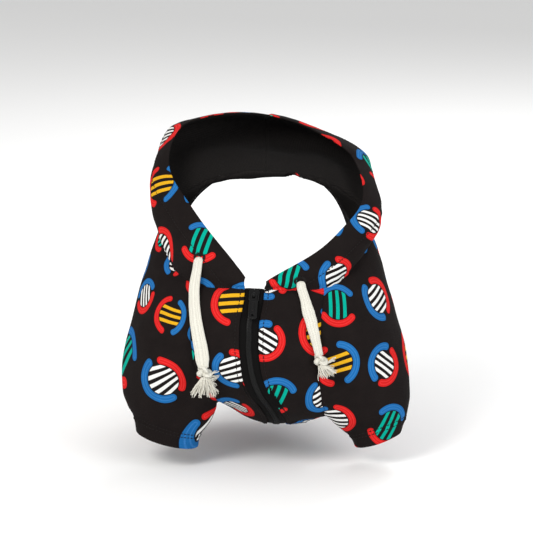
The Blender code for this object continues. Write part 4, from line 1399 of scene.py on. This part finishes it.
def build_knot(name, route, size):
    """An overhand knot in the flat cord, pulled tight."""
    end, across, down, out = knot_axes(route)
    centre = end + down * (size[1] / 2 - KNOT_OVERLAP)
    loop = []
    for step in range(KNOT_PATH_STEPS):
        t = math.tau * step / KNOT_PATH_STEPS
        loop.append(Vector((math.sin(t) + 2 * math.sin(2 * t), math.cos(t) - 2 * math.cos(2 * t),
                            -math.sin(3 * t))))
    rows = []
    for step, point in enumerate(loop):
        run = (loop[(step + 1) % len(loop)] - loop[step - 1]).normalized()
        side = run.cross(Vector((0, 0, 1))).normalized()
        lift = side.cross(run)
        row = []
        for turn in range(KNOT_ROUND):
            angle = math.tau * turn / KNOT_ROUND
            radius = 1 + KNOT_RIB * math.cos(KNOT_RIBS * angle)
            row.append(point + side * math.cos(angle) * radius * KNOT_STRAND[0]
                       + lift * math.sin(angle) * radius * KNOT_STRAND[1])
        rows.append(row)
    reach = [max(abs(place[axis]) for row in rows for place in row) for axis in range(3)]
    for row in rows:
        for index, place in enumerate(row):
            x, y, z = (place[axis] / reach[axis] / 2 * size[axis] for axis in range(3))
            row[index] = centre + across * (x + KNOT_LEAN * y) + down * y + out * z
    return smooth(at_origin(name, grid_through(rows + rows[:1], closed=True), COTTON))


def strand(start, heading, across, length, radius, draw):
    """One loose yarn: a thin wavy tube."""
    phase = draw.uniform(0, math.tau)
    bend = draw.uniform(*STRAND_BEND)
    turns = draw.uniform(*STRAND_TURNS)
    third = heading.cross(across).normalized()
    ring = [math.tau * turn / STRAND_ROUND for turn in range(STRAND_ROUND)]
    rows = []
    for step in range(STRAND_STEPS):
        share = step / (STRAND_STEPS - 1)
        sway = math.sin(phase + share * math.tau * turns) * STRAND_SWAY * share
        curl = math.cos(phase + share * STRAND_CURLS) * STRAND_CURL * share
        aside = bend * length * share ** 2 + sway
        centre = start + heading * length * share + across * aside + third * curl
        thick = radius * (1.0 - STRAND_TAPER * share ** 3)
        rows.append([centre + (across * math.cos(angle) + third * math.sin(angle)) * thick for angle in ring])
    return grid_through(rows, closed=True)


def build_tuft(name, route, knot_size, lobes, seed):
    """The frayed end: strands that fan out of the knot."""
    end, across, down, out = knot_axes(route)
    draw = random.Random(seed)
    root = end + down * (knot_size[1] - KNOT_OVERLAP - TUFT_ROOT)
    tuft = bmesh.new()
    for strands, first, last, shortest, longest in lobes:
        for _ in range(strands):
            share = draw.random()
            angle = math.radians(first + (last - first) * share)
            lift = draw.uniform(*TUFT_LIFT)
            heading = (down * math.cos(angle) + across * math.sin(angle) + out * lift).normalized()
            length = draw.uniform(shortest, longest) / 1000
            start = root + across * (share - 0.5) * TUFT_WIDTH + out * draw.uniform(*TUFT_DEPTH)
            sideways = (across - heading * across.dot(heading)).normalized()
            add_mesh(tuft, strand(start, heading, sideways, length, draw.uniform(*STRAND_RADIUS), draw))
    return smooth(at_origin(name, tuft, YARN))


# The whole garment
set_camera()
set_stage()
ZIP_POINTS, ZIP_OUTS = zip_line()
skin = join_panels()
mark_cuts(skin)
whole = at_origin("whole_skin", skin, *[PRINTED] * len(CLOTH_PANELS))
lay_flat(whole)
CUT_SIZES = cut_sizes(whole)
round_out(whole)
AWAY = shape_cloth(whole)

cloth = BVHTree.FromObject(whole, bpy.context.evaluated_depsgraph_get())
rows_of_stitches = {
    "casing_stitches": level_lines(whole.data, AWAY, "rim", CASING_WIDTH),
    "cuff_stitches": level_lines(whole.data, AWAY, "cuffs", CUFF_HEM)
    + level_lines(whole.data, AWAY, "cuffs", CUFF_HEM - TWIN_ROW),
    "hem_stitches": level_lines(whole.data, AWAY, "hem", REAR_HEM)
    + level_lines(whole.data, AWAY, "hem", REAR_HEM - TWIN_ROW),
    "zip_stitches": level_lines(whole.data, AWAY, "zip", ZIP_FOLD),
}
for label, lines in rows_of_stitches.items():
    build_stitches(label, lines, cloth)
build_buttonhole("buttonhole_left", LEFT_CORD_ROUTE, cloth)
build_buttonhole("buttonhole_right", RIGHT_CORD_ROUTE, cloth)
split_panels(whole)

build_tape("zip_tape_left_web", 1)
build_tape("zip_tape_right_web", -1)
build_coil()
slider_place = slider_frame()
build_slider(slider_place)
build_pull(slider_place)
for stop in ("zip_top_stop_left", "zip_top_stop_right", "zip_bottom_stop"):
    build_stop(stop)

left_knot = build_knot("left_knot", LEFT_CORD_ROUTE, LEFT_KNOT_SIZE)
left_tuft = build_tuft("left_tuft", LEFT_CORD_ROUTE, LEFT_KNOT_SIZE, LEFT_LOBES, 11)
right_knot = build_knot("right_knot", RIGHT_CORD_ROUTE, RIGHT_KNOT_SIZE)
right_tuft = build_tuft("right_tuft", RIGHT_CORD_ROUTE, RIGHT_KNOT_SIZE, RIGHT_LOBES, 23)
for piece, node in ((left_knot, "knot_left"), (right_knot, "knot_right")):
    finished(piece, [node])
for piece in (left_tuft, right_tuft):
    finished(piece, [])
build_cord("left_cord", "drawstring_left", LEFT_CORD_ROUTE, LEFT_CORD_WIDTHS)
build_cord("right_cord", "drawstring_right", RIGHT_CORD_ROUTE, RIGHT_CORD_WIDTHS)
